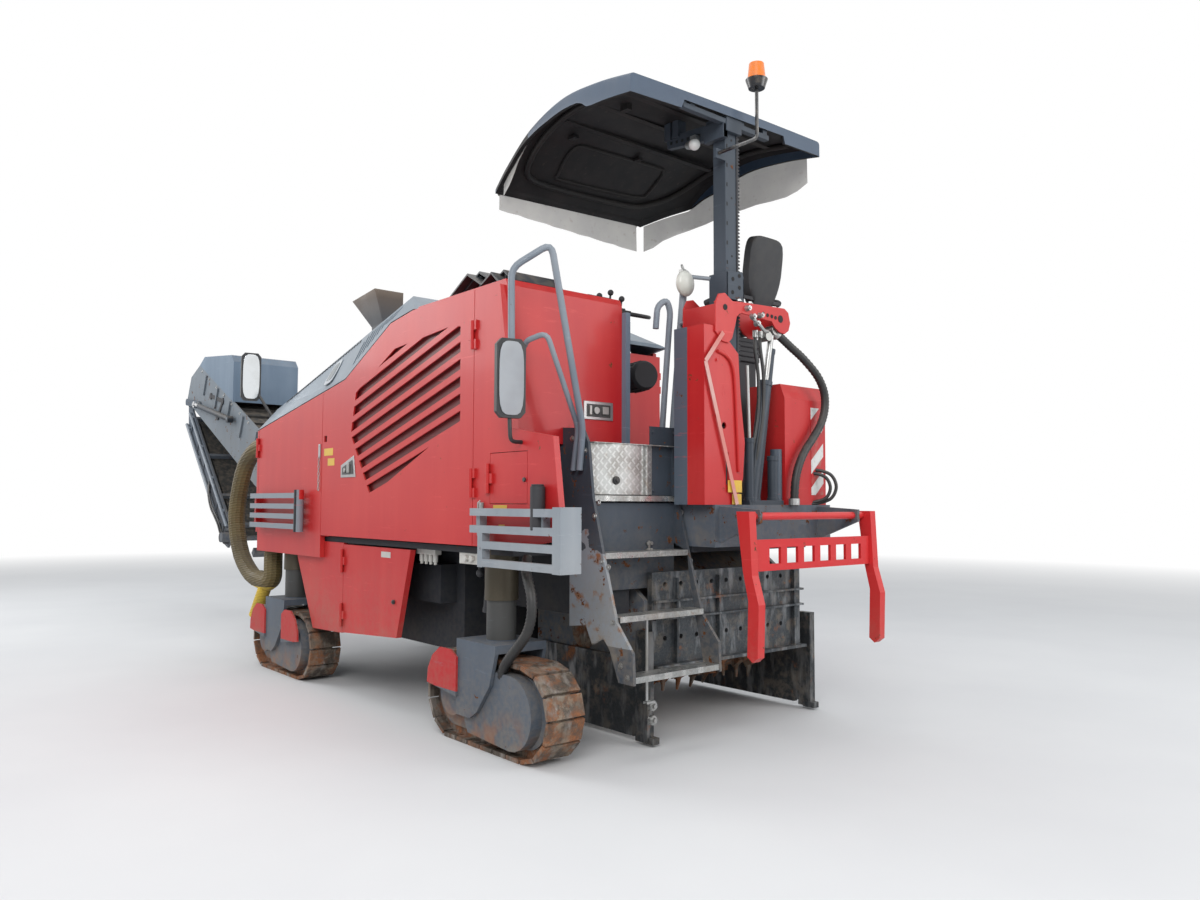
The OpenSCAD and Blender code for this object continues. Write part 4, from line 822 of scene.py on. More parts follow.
class PLANER_OT_steps(bpy.types.Operator):
    """Chequered riser with its knob, the lower riser's catch and bolts of the ladder"""

    bl_idname = "planer.steps"
    bl_label = "Steps"

    def execute(self, context):
        chequer = diamond_plate("chequer_plate")
        bm = bmesh.new()
        steps = 14
        for i in range(steps):
            y0, y1 = 232 + i * (748 - 232) / steps, 232 + (i + 1) * (748 - 232) / steps
            bow = lambda y: -452 - 26 * math.sin(math.pi * (y - 232) / 516)
            add_prism(bm, [at(bow(y0), y0, 1552), at(bow(y1), y1, 1552), at(bow(y1), y1, 1868), at(bow(y0), y0, 1868)],
                      (0.008, 0, 0))
        bmesh.ops.remove_doubles(bm, verts=bm.verts, dist=0.0004)
        make_piece("chequer_riser", bm, "frame", chequer, smooth=40)
        bm = bmesh.new()
        add_box(bm, at(-486, 60, 1868), at(-240, 744, 1874))
        make_piece("chequer_top", bm, "frame", chequer, bevel=0.002)
        bm = bmesh.new()
        add_round(bm, at(-466, 560, 1640), (-1, 0, 0), 0.030, 0.022, 24, 0.024)
        add_round(bm, at(-486, 560, 1640), (-1, 0, 0), 0.017, 0.012, 24, 0.014)
        make_piece("riser_knob", bm, "frame", NODES["console"].material_slots[0].material, bevel=0.002)
        bm = bmesh.new()
        for y in (262, 292):
            for z in (1180, 1222):
                add_round(bm, at(-476, y, z + 20), (-1, 0, 0), 0.012, 0.01, 14)
        add_box(bm, at(-478, 250, 1196), at(-470, 305, 1206))
        add_box(bm, at(-478, 268, 1180), at(-470, 286, 1260))
        catch = plain("zinc", (0.46, 0.47, 0.47), (0.30, 0.29, 0.27), 0.35, 0.8, dusting=0.3)
        make_piece("riser_catch", bm, "frame", catch, bevel=0.001)
        bm = bmesh.new()
        width = size("bolt")
        for x, z in ((-300, 1900), (-370, 1900), (-430, 1820), (-520, 1420), (-560, 1500), (-590, 1150), (-650, 1120),
                     (-690, 800), (-760, 560), (-820, 500), (-130, 1560), (-130, 1800)):
            add_bolt(bm, at(x, 770, z), (0, 1, 0), width)
        for x, z in ((-300, 1900), (-380, 1900), (-470, 1480), (-520, 1440), (-600, 1130), (-690, 780), (-800, 520)):
            add_bolt(bm, at(x, 30, z), (0, -1, 0), width)
        make_piece("ladder_bolts", bm, "frame", catch)
        return {"FINISHED"}


class PLANER_OT_fittings(bpy.types.Operator):
    """Latches, hinges' screws, key plates, hooks and blank signs on the left flank and tower"""

    bl_idname = "planer.fittings"
    bl_label = "Door fittings"

    def execute(self, context):
        zinc = bpy.data.materials["zinc"]
        black = bpy.data.materials["black_plastic"]
        sign = plain("sign_yellow", (0.72, 0.45, 0.04), (0.55, 0.36, 0.06), 0.45, dusting=0.5)
        pale = plain("sign_pale", (0.55, 0.54, 0.50), (0.42, 0.41, 0.38), 0.5, dusting=0.4)
        silver = plain("latch_silver", (0.50, 0.51, 0.52), (0.36, 0.36, 0.36), 0.3, 0.9, dusting=0.2)
        dark = plain("latch_dark", (0.02, 0.02, 0.022), (0.05, 0.05, 0.05), 0.4)

        # flush latch on the tower's rear wall
        bm = bmesh.new()
        add_box(bm, at(-207, 352, 2040), at(-200, 602, 2160))
        make_piece("tower_latch_tray", bm, "frame", silver, bevel=0.003)
        bm = bmesh.new()
        add_box(bm, at(-209, 375, 2058), at(-204, 580, 2142))
        make_piece("tower_latch_well", bm, "frame", dark, bevel=0.003)
        bm = bmesh.new()
        add_box(bm, at(-221, 400, 2078), at(-206, 452, 2128))
        add_round(bm, at(-208, 500, 2100), (-1, 0, 0), 0.024, 0.012, 24)
        add_box(bm, at(-218, 540, 2070), at(-206, 560, 2132))
        make_piece("tower_latch_grip", bm, "frame", zinc, bevel=0.003)

        # flank latch, escutcheon and hook chain
        bm = bmesh.new()
        add_prism(bm, [at(2015, 1240, 1690), at(1757, 1240, 1690), at(1790, 1240, 1855), at(2015, 1240, 1785)], (0, 0.006, 0))
        make_piece("flank_latch_plate", bm, "louvre_door_left", silver, bevel=0.002)
        bm = bmesh.new()
        add_prism(bm, [at(1985, 1246, 1712), at(1790, 1246, 1712), at(1812, 1246, 1822), at(1985, 1246, 1766)], (0, 0.004, 0))
        make_piece("flank_latch_well", bm, "louvre_door_left", dark, bevel=0.002)
        bm = bmesh.new()
        add_box(bm, at(1840, 1248, 1725), at(1880, 1262, 1795))
        add_round(bm, at(1925, 1249, 1745), (0, 1, 0), 0.017, 0.012, 20)
        make_piece("flank_latch_grip", bm, "louvre_door_left", zinc, bevel=0.002)

        bm = bmesh.new()
        add_box(bm, at(2412, 1240, 1862), at(2450, 1247, 1972))
        for z in (1875, 1957):
            add_round(bm, at(2431, 1247, z), (0, 1, 0), 0.007, 0.003, 12)
        make_piece("escutcheon", bm, "front_door_left", silver, bevel=0.004)
        bm = bmesh.new()
        for i in range(9):
            z = 1848 - i * 30
            ring = [at(2424 + (5 if i % 2 else 2) * math.cos(a), 1252 + (2 if i % 2 else 6) * math.cos(a), z + 17 * math.sin(a))
                    for a in (2 * math.pi * k / 12 for k in range(13))]
            add_tube(bm, ring, 0.0028, 6)
        make_piece("hook_chain", bm, "front_door_left", zinc, smooth=60)

        # blank stickers where the machine has its notices
        for name, x0, x1, z0, z1, body, paint in (
            ("notice_a", 2178, 2346, 1872, 1930, "louvre_door_left", sign),
            ("notice_b", 2147, 2272, 1790, 1848, "louvre_door_left", sign),
            ("notice_c", -275, -130, 1436, 1484, "frame", sign),
            ("notice_d", -254, -190, 1334, 1368, "frame", sign),
        ):
            bm = bmesh.new()
            add_box(bm, at(x0, SIDE_Y, z0), at(x1, SIDE_Y + 1.2, z1))
            make_piece(name, bm, body, paint, bevel=0.0004)
        bm = bmesh.new()
        add_box(bm, at(1255, 1198, 1098), at(1400, 1199.2, 1140))
        make_piece("notice_e", bm, "lower_door_left", pale, bevel=0.0004)

        # screws round the door's hinges, the small door's key and the lower door's lock
        bm = bmesh.new()
        for z in (1620, 2550):
            for dx in (22, 40):
                for dz in (-18, 18):
                    add_bolt(bm, at(106 + dx, SIDE_Y, z + dz), (0, 1, 0), 0.011)
        make_piece("hinge_screws", bm, "louvre_door_left", zinc)
        bm = bmesh.new()
        add_round(bm, at(-453, SIDE_Y - 4, 1632), (0, 1, 0), 0.013, 0.014, 20)
        make_piece("small_door_key", bm, "small_door_left", dark, bevel=0.001)
        bm = bmesh.new()
        add_round(bm, at(1190, 1198, 790), (0, 1, 0), 0.016, 0.014, 20)
        add_round(bm, at(1190, 1212, 790), (0, 1, 0), 0.009, 0.006, 14)
        make_piece("lower_door_lock", bm, "lower_door_left", dark, bevel=0.001)

        # black canister on the rear quarter panel and the catch beside it
        bm = bmesh.new()
        add_round(bm, at(-640, 1285, 1345), (0, 0, 1), 0.042, 0.245, 28)
        add_round(bm, at(-640, 1285, 1590), (0, 0, 1), 0.036, 0.012, 28)
        make_piece("flank_canister", bm, "frame", black, bevel=0.003, smooth=40)
        bm = bmesh.new()
        for z in (1320, 1400, 1480):
            add_tube(bm, at_all([(-4, 1252, z - 30), (-4, 1268, z - 18), (-4, 1268, z + 18), (-4, 1252, z + 30)]), 0.006, 8)
        add_box(bm, at(-30, 1240, 1290), at(20, 1252, 1500))
        make_piece("door_catch", bm, "frame", zinc, bevel=0.002)

        # row of pale couplings under the deck's edge
        bm = bmesh.new()
        for i in range(4):
            add_round(bm, at(770 + i * 62, 1110, 1090), (0, 0, 1), 0.017, 0.09, 16)
            add_round(bm, at(770 + i * 62, 1110, 1072), (0, 0, 1), 0.011, 0.02, 16)
        add_box(bm, at(735, 1085, 1140), at(990, 1135, 1180))
        make_piece("couplings", bm, "frame", pale, bevel=0.002)
        bm = bmesh.new()
        add_box(bm, at(120, 1090, 1108), at(350, 1180, 1180))
        add_round(bm, at(180, 1180, 1145), (0, 1, 0), 0.02, 0.025, 18)
        add_round(bm, at(250, 1180, 1145), (0, 1, 0), 0.02, 0.025, 18)
        make_piece("valve_block", bm, "frame", pale, bevel=0.004)
        return {"FINISHED"}


class PLANER_OT_lamps(bpy.types.Operator):
    """Round lamp on its post, and the work lamp under the canopy with its bracket"""

    bl_idname = "planer.lamps"
    bl_label = "Lamps"

    def execute(self, context):
        zinc = bpy.data.materials["zinc"]
        white = plain("lamp_white", (0.74, 0.74, 0.68), (0.62, 0.61, 0.54), 0.25, dusting=0.1)
        bm = bmesh.new()
        bmesh.ops.create_uvsphere(bm, u_segments=32, v_segments=18, radius=0.078, matrix=Matrix.Translation(at(-460, -72, 2985)))
        for v in bm.verts:
            v.co.x = at(-460, 0, 0).x + (v.co.x - at(-460, 0, 0).x) * 0.55
            v.co.z = 2.985 + (v.co.z - 2.985) * 1.15
        make_piece("round_lamp", bm, "frame", white, smooth=180)
        bm = bmesh.new()
        add_tube(bm, smooth_path(at_all([(-430, -100, 3060), (-440, -60, 3110), (-450, -70, 3066)]), 5), 0.009, 8)
        add_box(bm, at(-456, -88, 3060), at(-420, -52, 3082))
        make_piece("lamp_bracket", bm, "frame", zinc, smooth=40)
        bm = bmesh.new()
        bmesh.ops.create_uvsphere(bm, u_segments=28, v_segments=16, radius=0.040, matrix=Matrix.Translation(at(-496, -128, 3950)))
        glow = plain("lamp_glow", (0.95, 0.95, 0.92), (0.85, 0.85, 0.80), 0.2, dusting=0.0)
        make_piece("work_lamp", bm, "canopy", glow, smooth=180)
        bm = bmesh.new()
        add_box(bm, at(-520, -156, 3972), at(-470, -110, 4010))
        add_round(bm, at(-478, -128, 3954), (1, 0, 0.15), 0.036, 0.05, 20, 0.026)
        make_piece("work_lamp_bracket", bm, "canopy", zinc, bevel=0.002)
        return {"FINISHED"}


class PLANER_OT_hoses(bpy.types.Operator):
    """Ribbed conduit to the left rear track, hoses at the mast and the cabinet, and the lashing strap"""

    bl_idname = "planer.hoses"
    bl_label = "Hoses and strap"

    def execute(self, context):
        rubber = plain("hose_rubber", (0.012, 0.013, 0.014), (0.032, 0.032, 0.033), 0.45, dusting=0.35)
        conduit = plain("conduit", (0.010, 0.011, 0.012), (0.035, 0.034, 0.033), 0.5, dusting=0.25)
        points = smooth_path(at_all([
            (-330, 1130, 1170), (-397, 1185, 1114), (-468, 1225, 1060), (-535, 1246, 965), (-542, 1250, 860), (-500, 1250, 760),
            (-420, 1248, 680), (-330, 1244, 605), (-255, 1238, 530), (-205, 1215, 455)]), 9)
        feed = make_hose("track_conduit", points, size("conduit"), None, conduit, ribs=0.16)
        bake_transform(feed)
        wide = size("hose")
        arc = [(-742, -650, 2690), (-756, -705, 2656), (-786, -783, 2590), (-822, -880, 2510), (-848, -1000, 2400), (-852, -1072, 2290),
               (-848, -1085, 2180), (-842, -1050, 2070), (-838, -960, 1960), (-836, -868, 1865), (-834, -800, 1760), (-832, -762, 1640),
               (-830, -752, 1484)]
        make_hose("mast_conduit", smooth_path(at_all(arc), 10), MAST_CONDUIT, "frame", conduit, ribs=0.12)
        for name, run in (
            ("mast_hose_a", [(-735, -520, 2650), (-750, -500, 2560), (-762, -520, 2350), (-770, -500, 2100), (-766, -450, 1850),
                             (-752, -420, 1650), (-745, -410, 1490)]),
            ("mast_hose_b", [(-735, -470, 2640), (-748, -450, 2540), (-758, -470, 2340), (-764, -455, 2100), (-760, -400, 1850),
                             (-750, -370, 1650), (-745, -365, 1490)]),
            ("cabinet_hose_a", [(-700, -1010, 1722), (-750, -1045, 1733), (-800, -1080, 1735), (-865, -1129, 1701), (-892, -1149, 1620),
                                (-865, -1129, 1539), (-800, -1080, 1505), (-760, -988, 1495), (-742, -893, 1490)]),
            ("cabinet_hose_b", [(-700, -985, 1700), (-745, -1016, 1711), (-790, -1050, 1712), (-847, -1092, 1683), (-870, -1110, 1612),
                                (-847, -1092, 1541), (-786, -1046, 1512), (-733, -972, 1503), (-714, -880, 1496)]),
        ):
            make_hose(name, smooth_path(at_all(run), 6), wide, "frame", rubber)
        bm = bmesh.new()
        for y in (-470, -520):
            add_round(bm, at(-735, y, 2625), (0, 0, 1), 0.020, 0.05, 12)
        for x, y in ((-745, -410), (-745, -365), (-830, -752)):
            add_round(bm, at(x, y, 1488), (0, 0, 1), 0.024 if y > -700 else 0.038, 0.045, 12)
        add_round(bm, at(-742, -650, 2690), (-0.05, -0.8, -0.5), 0.038, 0.05, 16)
        make_piece("hose_ends", bm, "frame", bpy.data.materials["zinc"], bevel=0.002)
        bm = bmesh.new()
        web = size("strap")
        hook, corner, foot = (-814, -60, 2600), (-806, 99, 2400), (-812, -187, 1492)
        for a, b in ((hook, corner), (corner, foot)):
            a, b = at(*a), at(*b)
            across = (b - a).cross(Vector((1, 0, 0))).normalized() * web / 2
            add_prism(bm, [a - across, a + across, b + across, b - across], (-0.002, 0, 0))
        pink = plain("strap_pink", (0.62, 0.22, 0.19), (0.66, 0.42, 0.38), 0.7, grain=500, depth=0.0006, dusting=0.25)
        make_piece("lashing_strap", bm, "frame", pink)
        return {"FINISHED"}


class PLANER_OT_canopy(bpy.types.Operator):
    """Curved roof shell with its stepped rim, lining, edge tube, hatch bead and hanging flaps"""

    bl_idname = "planer.canopy"
    bl_label = "Canopy"

    line = [(-760, 4133), (-426, 4194), (-53, 4217), (320, 4128), (600, 3962), (760, 3832)]
    centre, lean, skin = -238, 0.028, 24

    def roof(self, x, y, drop=0.0):
        """A point of the roof at x and y, or that far below it."""
        return at(x, y, between(self.curve, x) - self.lean * (y - self.centre) - drop)

    def left(self, x):
        return between(((-760, 700), (760, 660)), x)

    def right(self, x):
        return between(((-760, -1175), (540, -1175), (760, -783)), x)

    def section(self, x, solid, end_depth):
        """One cut across the shell: outside from left to right, inside back again."""
        l, r, t = self.left(x), self.right(x), self.skin
        rim_left = between(((-760, 122), (-330, 146), (-250, 95), (114, 78), (452, 44), (760, 48)), x)
        rim_right = between(((-760, 112), (250, 138), (547, 52), (760, 52)), x)
        outside = [(l, rim_left), (l, 22), (l - 7, 7), (l - 26, 0)]
        outside += [(l - 26 + k / 6 * (r - l + 52), -9 * math.sin(math.pi * k / 6)) for k in range(1, 6)]
        outside += [(r + 26, 0), (r + 7, 7), (r, 22), (r, rim_right)]
        stops = [r + t, r + t, r + t + 34, -776, -758, -400, 0, 236, 262, l - t - 34, l - t, l - t]
        inside = []
        for k, y in enumerate(stops):
            if solid:
                depth = between(end_depth, y)
            else:
                depth = {0: rim_right, 1: t + 32, 10: t + 32, 11: rim_left}.get(k, t)
            inside.append((y, depth))
        return [self.roof(x, y, depth) for y, depth in outside + inside]

    def execute(self, context):
        path = smooth_path([(x, 0, z) for x, z in self.line], 7)
        self.curve = [(p.x, p.z) for p in path]
        rear, front, t = self.line[0][0], self.line[-1][0], self.skin
        behind = ((-1175, 105), (-776, 105), (-758, 52), (236, 52), (262, 111), (700, 122))
        ahead = ((-1175, 48), (700, 48))
        loops = [self.section(rear, True, behind), self.section(rear + t, True, behind)]
        inner = [rear + t + 1] + [p.x for p in path if rear + t + 8 < p.x < front - t - 8] + [front - t - 1]
        loops += [self.section(x, False, behind) for x in inner]
        loops += [self.section(front - t, True, ahead), self.section(front, True, ahead)]

        shell = Finish("canopy_grp", Coat_Weight=0.12, Coat_Roughness=0.2)
        cloud, fine = shell.noise(1.4, 4), shell.noise(90, 3)
        outer = shell.shade(cloud.over(0.35, 0.65), (0.030, 0.055, 0.095), (0.055, 0.085, 0.130))
        outer = shell.shade((shell.up() * shell.noise(5, 6).over(0.42, 0.68) * 0.5).limited(), outer, colour("dust"))
        lining = shell.shade(shell.noise(7, 5).over(0.4, 0.7), (0.004, 0.004, 0.005), (0.013, 0.011, 0.011))
        lining = shell.shade(shell.noise(26, 6).over(0.62, 0.72) * 0.5, lining, (0.045, 0.035, 0.030))
        across = (shell.y - at(0, self.centre, 0).y).size()
        side = at(0, 700 - self.centre, 0).y - at(0, 0, 0).y
        along = shell.x - at(rear, 0, 0).x
        inside = (across < side - 0.029) * (along > 0.012) * (along < (front - rear) / 1000 - 0.012)
        inside = (inside * (1 - shell.up().over(0.3, 0.5)) + shell.down().over(0.15, 0.4)).limited()
        tone = shell.shade(inside, outer, lining)
        paint = shell.finish(tone, (cloud * 0.2 + 0.42 + inside * 0.3).limited(), None, fine, 0.001)
        bm = bmesh.new()
        add_loft(bm, loops)
        roof = make_piece("canopy_roof", bm, "canopy", paint, smooth=32)
        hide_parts("canopy_shell")

        bm = bmesh.new()
        outline = [self.roof(-650, 380, -1), self.roof(-640, 380, -26), self.roof(-40, 380, -34), self.roof(-20, 380, -1)]
        add_prism(bm, outline, self.roof(-300, -860) - self.roof(-300, 380))
        make_piece("canopy_crown", bm, "canopy", paint, bevel=0.006)

        black = plain("canopy_lining", (0.004, 0.004, 0.005), (0.016, 0.014, 0.013), 0.65, dusting=0.1)
        bm = bmesh.new()
        ring = [(-600, 560), (-300, 566), (60, 560), (330, 552), (520, 530), (610, 470), (642, 300), (650, -100), (640, -560),
                (600, -720), (520, -860), (400, -960), (200, -1010), (-200, -1020), (-600, -1020)]
        add_tube(bm, smooth_path([self.roof(x, y, t + 20) for x, y in ring], 6), 0.021, 10)
        hatch = [(300, 200), (330, 250), (420, 262), (560, 236), (590, 190), (585, -300), (570, -600), (520, -650), (380, -650),
                 (320, -620), (300, -560), (298, -200), (300, 200)]
        add_tube(bm, smooth_path([self.roof(x, y, t + 6) for x, y in hatch], 5), 0.012, 8)
        for x in (-470, -170, 110):
            add_box(bm, self.roof(x, -960, t + 34), self.roof(x + 46, 500, t - 2))
        for x, y in ((200, 330), (230, -320), (-330, 300)):
            add_box(bm, self.roof(x, y, t + 42), self.roof(x + 70, y + 40, t - 4))
        make_piece("canopy_ribs", bm, "canopy", black, bevel=0.003, smooth=50)

        film = Finish("flap_film", Roughness=0.35)
        milk = film.noise(3, 4)
        tone = film.shade(milk.over(0.35, 0.65), (0.62, 0.60, 0.56), (0.50, 0.49, 0.47))
        tone = film.shade(film.noise(22, 6).over(0.6, 0.72) * 0.4, tone, colour("dust"))
        film.finish(tone, (milk * 0.2 + 0.3).limited(), None, film.noise(9, 3), 0.002)
        film.shader.inputs["Alpha"].default_value = 0.62
        front_steps = [620 - k * (620 + 742) / 16 for k in range(17)]
        edge = [(744, -806, 3590), (706, -872, 3628), (660, -956, 3690), (606, -1056, 3752), (556, -1148, 3792), (500, -1181, 3806),
                (400, -1181, 3818), (260, -1181, 3828), (120, -1181, 3836), (-20, -1181, 3842), (-160, -1181, 3840),
                (-300, -1181, 3834), (-440, -1181, 3832), (-560, -1181, 3846), (-640, -1181, 3890)]
        for name, top, bottom, push, ripple, length in (
            ("front_flap", [self.roof(front + 4, y, 40) for y in front_steps],
             [at(front + 4, y, 3648 - 64 * k / 16) for k, y in enumerate(front_steps)], Vector((0.003, 0, 0)), 2.5, 0.262),
            ("right_flap", [self.roof(x, y, 60) for x, y, z in edge],
             [at(*spot) for spot in edge], Vector((0, -0.003, 0)), 3.0, 0.372),
            ("corner_flap", [self.roof(x, self.left(x) - t - 6, 36) for x in (380, 440, 500, 560, 620, 690)],
             [at(x, self.left(x) - t - 6, z) for x, z in zip((380, 440, 500, 560, 620, 690), (4035, 3990, 3930, 3860, 3790, 3730))],
             Vector((0, -0.003, 0)), 1.0, 0.13),
        ):
            bm = bmesh.new()
            area = add_flap(bm, top, bottom, push, 5, ripple)
            piece = make_piece(name, bm, "canopy", film.material, smooth=60)
            wide = path_length(top)
            max(length, area / wide)
        bm = bmesh.new()
        for k in (0, 5, 10, 16):
            add_bolt(bm, self.roof(front + 8, front_steps[k], 44), (1, 0, 0), 0.018)
        make_piece("flap_pins", bm, "canopy", bpy.data.materials["zinc"])
        return {"FINISHED"}


class PLANER_OT_mast(bpy.types.Operator):
    """Canopy mast with its rack and arm, red head, guide plates, tie tubes and the cylinders beside it"""

    bl_idname = "planer.mast"
    bl_label = "Mast"

    def plate(self, bm, outline, x0, x1):
        add_prism(bm, [at(x0, y, z) for y, z in outline], at(x1, 0, 0) - at(x0, 0, 0))

    def execute(self, context):
        slate, zinc = colour("slate"), bpy.data.materials["zinc"]
        dark = times(0.55, slate)
        steel = painted("mast_steel", dark, slate, 0.45, 2.2, 0.3, 0.5)
        black = bpy.data.materials["black_plastic"]
        near, far, left, right = -715, -605, -195, -305

        bm = bmesh.new()
        add_box(bm, at(near, right, 2010), at(far, left, 4070))
        self.plate(bm, [(left, 3938), (left + 44, 3938), (left + 44, 4060), (left, 4060)], -740, -560)
        add_prism(bm, at_all([(-740, left, 3938), (-740, left, 4050), (-192, left, 4099), (-206, left, 4009)]), (0, 0.042, 0))
        add_box(bm, at(-748, right - 20, 3985), at(-560, left + 20, 4098))
        add_box(bm, at(-742, -620, 4030), at(-700, 230, 4066))
        for y in (-600, -360, 120, 200):
            add_box(bm, at(-742, y, 4050), at(-690, y + 46, 4112 - 0.028 * (y + 238)))
        for x in (-330, -250):
            add_box(bm, at(x, left - 20, 4060), at(x + 56, left + 60, 4186))
        add_box(bm, at(-726, -190, 3785), at(-700, -96, 3850))
        column = make_piece("mast_column", bm, "canopy", steel, bevel=0.003)
        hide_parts("canopy_mast")

        bm = bmesh.new()
        outline = [(right + 4, 2100)]
        for k in range(78):
            z = 2110 + 24 * k
            outline += [(right - 10, z), (right - 26, z + 5), (right - 26, z + 13), (right - 10, z + 18)]
        outline += [(right + 4, 3990)]
        self.plate(bm, outline, near - 6, near + 26)
        make_piece("mast_rack", bm, "canopy", black)

        # Painted shade: black patches on the mast and along its bracket stand for the shade inside their slots and
        # holes.
        bm = bmesh.new()
        for k, z in enumerate(range(2960, 3900, 132)):
            add_box(bm, at(near - 1, left - 22, z), at(near + 2, left - 11, z + 26))
            if k % 3 == 1:
                add_round(bm, at(near + 1, left - 62, z + 60), (-1, 0, 0), 0.008, 0.002, 12)
        for k in range(9):
            x = -690 + k * 54
            add_box(bm, at(x, left + 41, 3985 + k * 5.5), at(x + 22, left + 43, 4006 + k * 5.5))
        make_piece("mast_holes", bm, "canopy", bpy.data.materials["slot_black"])

        red = painted("red_head", colour("red"), colour("red_faded"), 0.38, 1.0, 0.3, 0.3, 0.14)
        bm = bmesh.new()
        head = [(4, 2604), (2, 2790), (-30, 2850), (-90, 2864), (-165, 2820), (-230, 2826), (-700, 2846), (-742, 2822), (-762, 2750),
                (-742, 2694), (-700, 2668), (-650, 2672), (-596, 2700), (-560, 2738), (-243, 2752), (-206, 2722), (-184, 2650),
                (-158, 2574), (-120, 2538), (-60, 2546)]
        self.plate(bm, head, -803, -791)
        self.plate(bm, head, -519, -507)
        for low, high in (((-793, -742, 2700), (-517, -726, 2822)), ((-793, -12, 2642), (-517, 0, 2782)),
                          ((-793, -180, 2806), (-730, -60, 2818)), ((-793, -690, 2822), (-730, -340, 2834))):
            add_box(bm, at(*low), at(*high))
        head_piece = make_piece("mast_head_plates", bm, "frame", red, bevel=0.003)
        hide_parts("mast_head")

        # Painted shade: black discs on the head plate stand for the shade inside its holes.
        bm = bmesh.new()
        for y, z, r in ((-90, 2770, 0.020), (-470, 2778, 0.013), (-515, 2774, 0.013), (-560, 2772, 0.013), (-600, 2768, 0.013),
                        (-652, 2766, 0.026)):
            add_round(bm, at(-803, y, z), (-1, 0, 0), r, 0.003, 18)
        make_piece("head_holes", bm, "frame", bpy.data.materials["slot_black"])
        bm = bmesh.new()
        for y, z in ((-300, 2790), (-350, 2742), (-390, 2700), (-430, 2760)):
            add_round(bm, at(-803, y, z), (-1, 0, 0), 0.021, 0.03, 16, 0.016)
            add_bolt(bm, at(-832, y, z), (-1, 0, 0), 0.022)
        for y in (-270, -380, -620):
            add_bolt(bm, at(-765, y, 2838), (0, 0, 1), 0.03)
        add_tube(bm, smooth_path(at_all([(-806, -340, 2742), (-816, -420, 2690), (-812, -470, 2660), (-800, -520, 2664)]), 5), 0.012, 8)
        make_piece("head_fittings", bm, "frame", zinc, smooth=40)

        bm = bmesh.new()
        guide_left, guide_right = left + 6, right - 32
        add_box(bm, at(-742, guide_left, 2800), at(-580, guide_left + 10, 3034))
        self.plate(bm, [(guide_left + 10, 2852), (guide_left + 10, 3034), (-330, 3052), (guide_right - 10, 3010),
                        (guide_right - 10, 2852)], -742, -732)
        add_box(bm, at(-742, guide_right - 10, 2810), at(-580, guide_right, 3010))
        add_box(bm, at(-598, guide_right, 2760), at(-590, guide_left, 3034))
        make_piece("mast_guide", bm, "frame", steel, bevel=0.002)
        # Painted shade: black discs on the guide plate stand for the shade inside its holes.
        bm = bmesh.new()
        for y, z in ((-232, 2900), (-236, 2990), (-300, 2940), (-300, 3020)):
            add_round(bm, at(-742, y, z), (-1, 0, 0), 0.014, 0.002, 14)
        make_piece("guide_holes", bm, "frame", bpy.data.materials["slot_black"])

        bm = bmesh.new()
        for a, b in (((-428, -98, 3045), (-590, guide_left + 4, 3010)), ((-404, -86, 2715), (-518, -6, 2700)),
                     ((-378, -74, 2352), (-524, 70, 2352))):
            add_tube(bm, at_all([a, b]), 0.014, 12)
        for low, high in (((-452, -122, 2600), (-404, -74, 2630)), ((-440, -100, 2960), (-400, -72, 3090))):
            add_box(bm, at(*low), at(*high))
        make_piece("tie_tubes", bm, "frame", bpy.data.materials["tube_grey"], bevel=0.002, smooth=40)

        bm = bmesh.new()
        for foot, top, radius in (((-740, -404, 1488), (-740, -566, 2330), 0.043), ((-728, -470, 1488), (-732, -640, 2560), 0.026),
                                  ((-762, -368, 1488), (-762, -368, 1930), 0.030), ((-742, -634, 1488), (-742, -634, 1820), 0.036)):
            a, b = at(*foot), at(*top)
            add_round(bm, a, b - a, radius, (b - a).length, 24)
            add_round(bm, b - (b - a).normalized() * 0.03, b - a, radius * 1.12, 0.034, 24)
            add_round(bm, a + (b - a).normalized() * 0.02, b - a, radius * 1.15, 0.03, 24)
        add_box(bm, at(-790, -690, 1486), at(-724, -336, 1520))
        make_piece("mast_cylinders", bm, "frame", painted("cylinder_slate", dark, slate, 0.36, 1.0, 0.2, 0.4), bevel=0.002, smooth=40)
        bm = bmesh.new()
        for foot, top, radius in (((-740, -566, 2330), (-744, -630, 2690), 0.020), ((-762, -368, 1930), (-762, -350, 2420), 0.012)):
            a, b = at(*foot), at(*top)
            add_round(bm, a, b - a, radius, (b - a).length, 20)
        for y, z in ((-630, 2690), (-560, 2640)):
            add_round(bm, at(-780, y, z), (1, 0, 0), 0.034, 0.075, 24)
        make_piece("mast_rods", bm, "frame", zinc, bevel=0.002, smooth=40)

        bm = bmesh.new()
        lip = smooth_path(at_all([(-797, -24, 2478), (-799, -110, 2452), (-800, -168, 2385), (-800, -190, 2250), (-800, -205, 2000),
                                  (-798, -222, 1705)]), 6)
        add_tube(bm, lip, 0.011, 10)
        for y0, z0, y1, z1 in ((-60, 2420, -48, 2450), (-96, 2230, -80, 2262), (-112, 2200, -96, 2226), (-84, 2190, -72, 2214)):
            add_box(bm, at(-791, y1, z0), at(-788, y0, z1))
        for z in (2420, 2060):
            add_bolt(bm, at(-790, -20, z), (-1, 0, 0), 0.02)
        make_piece("housing_lip", bm, "frame", red, smooth=50)
        return {"FINISHED"}


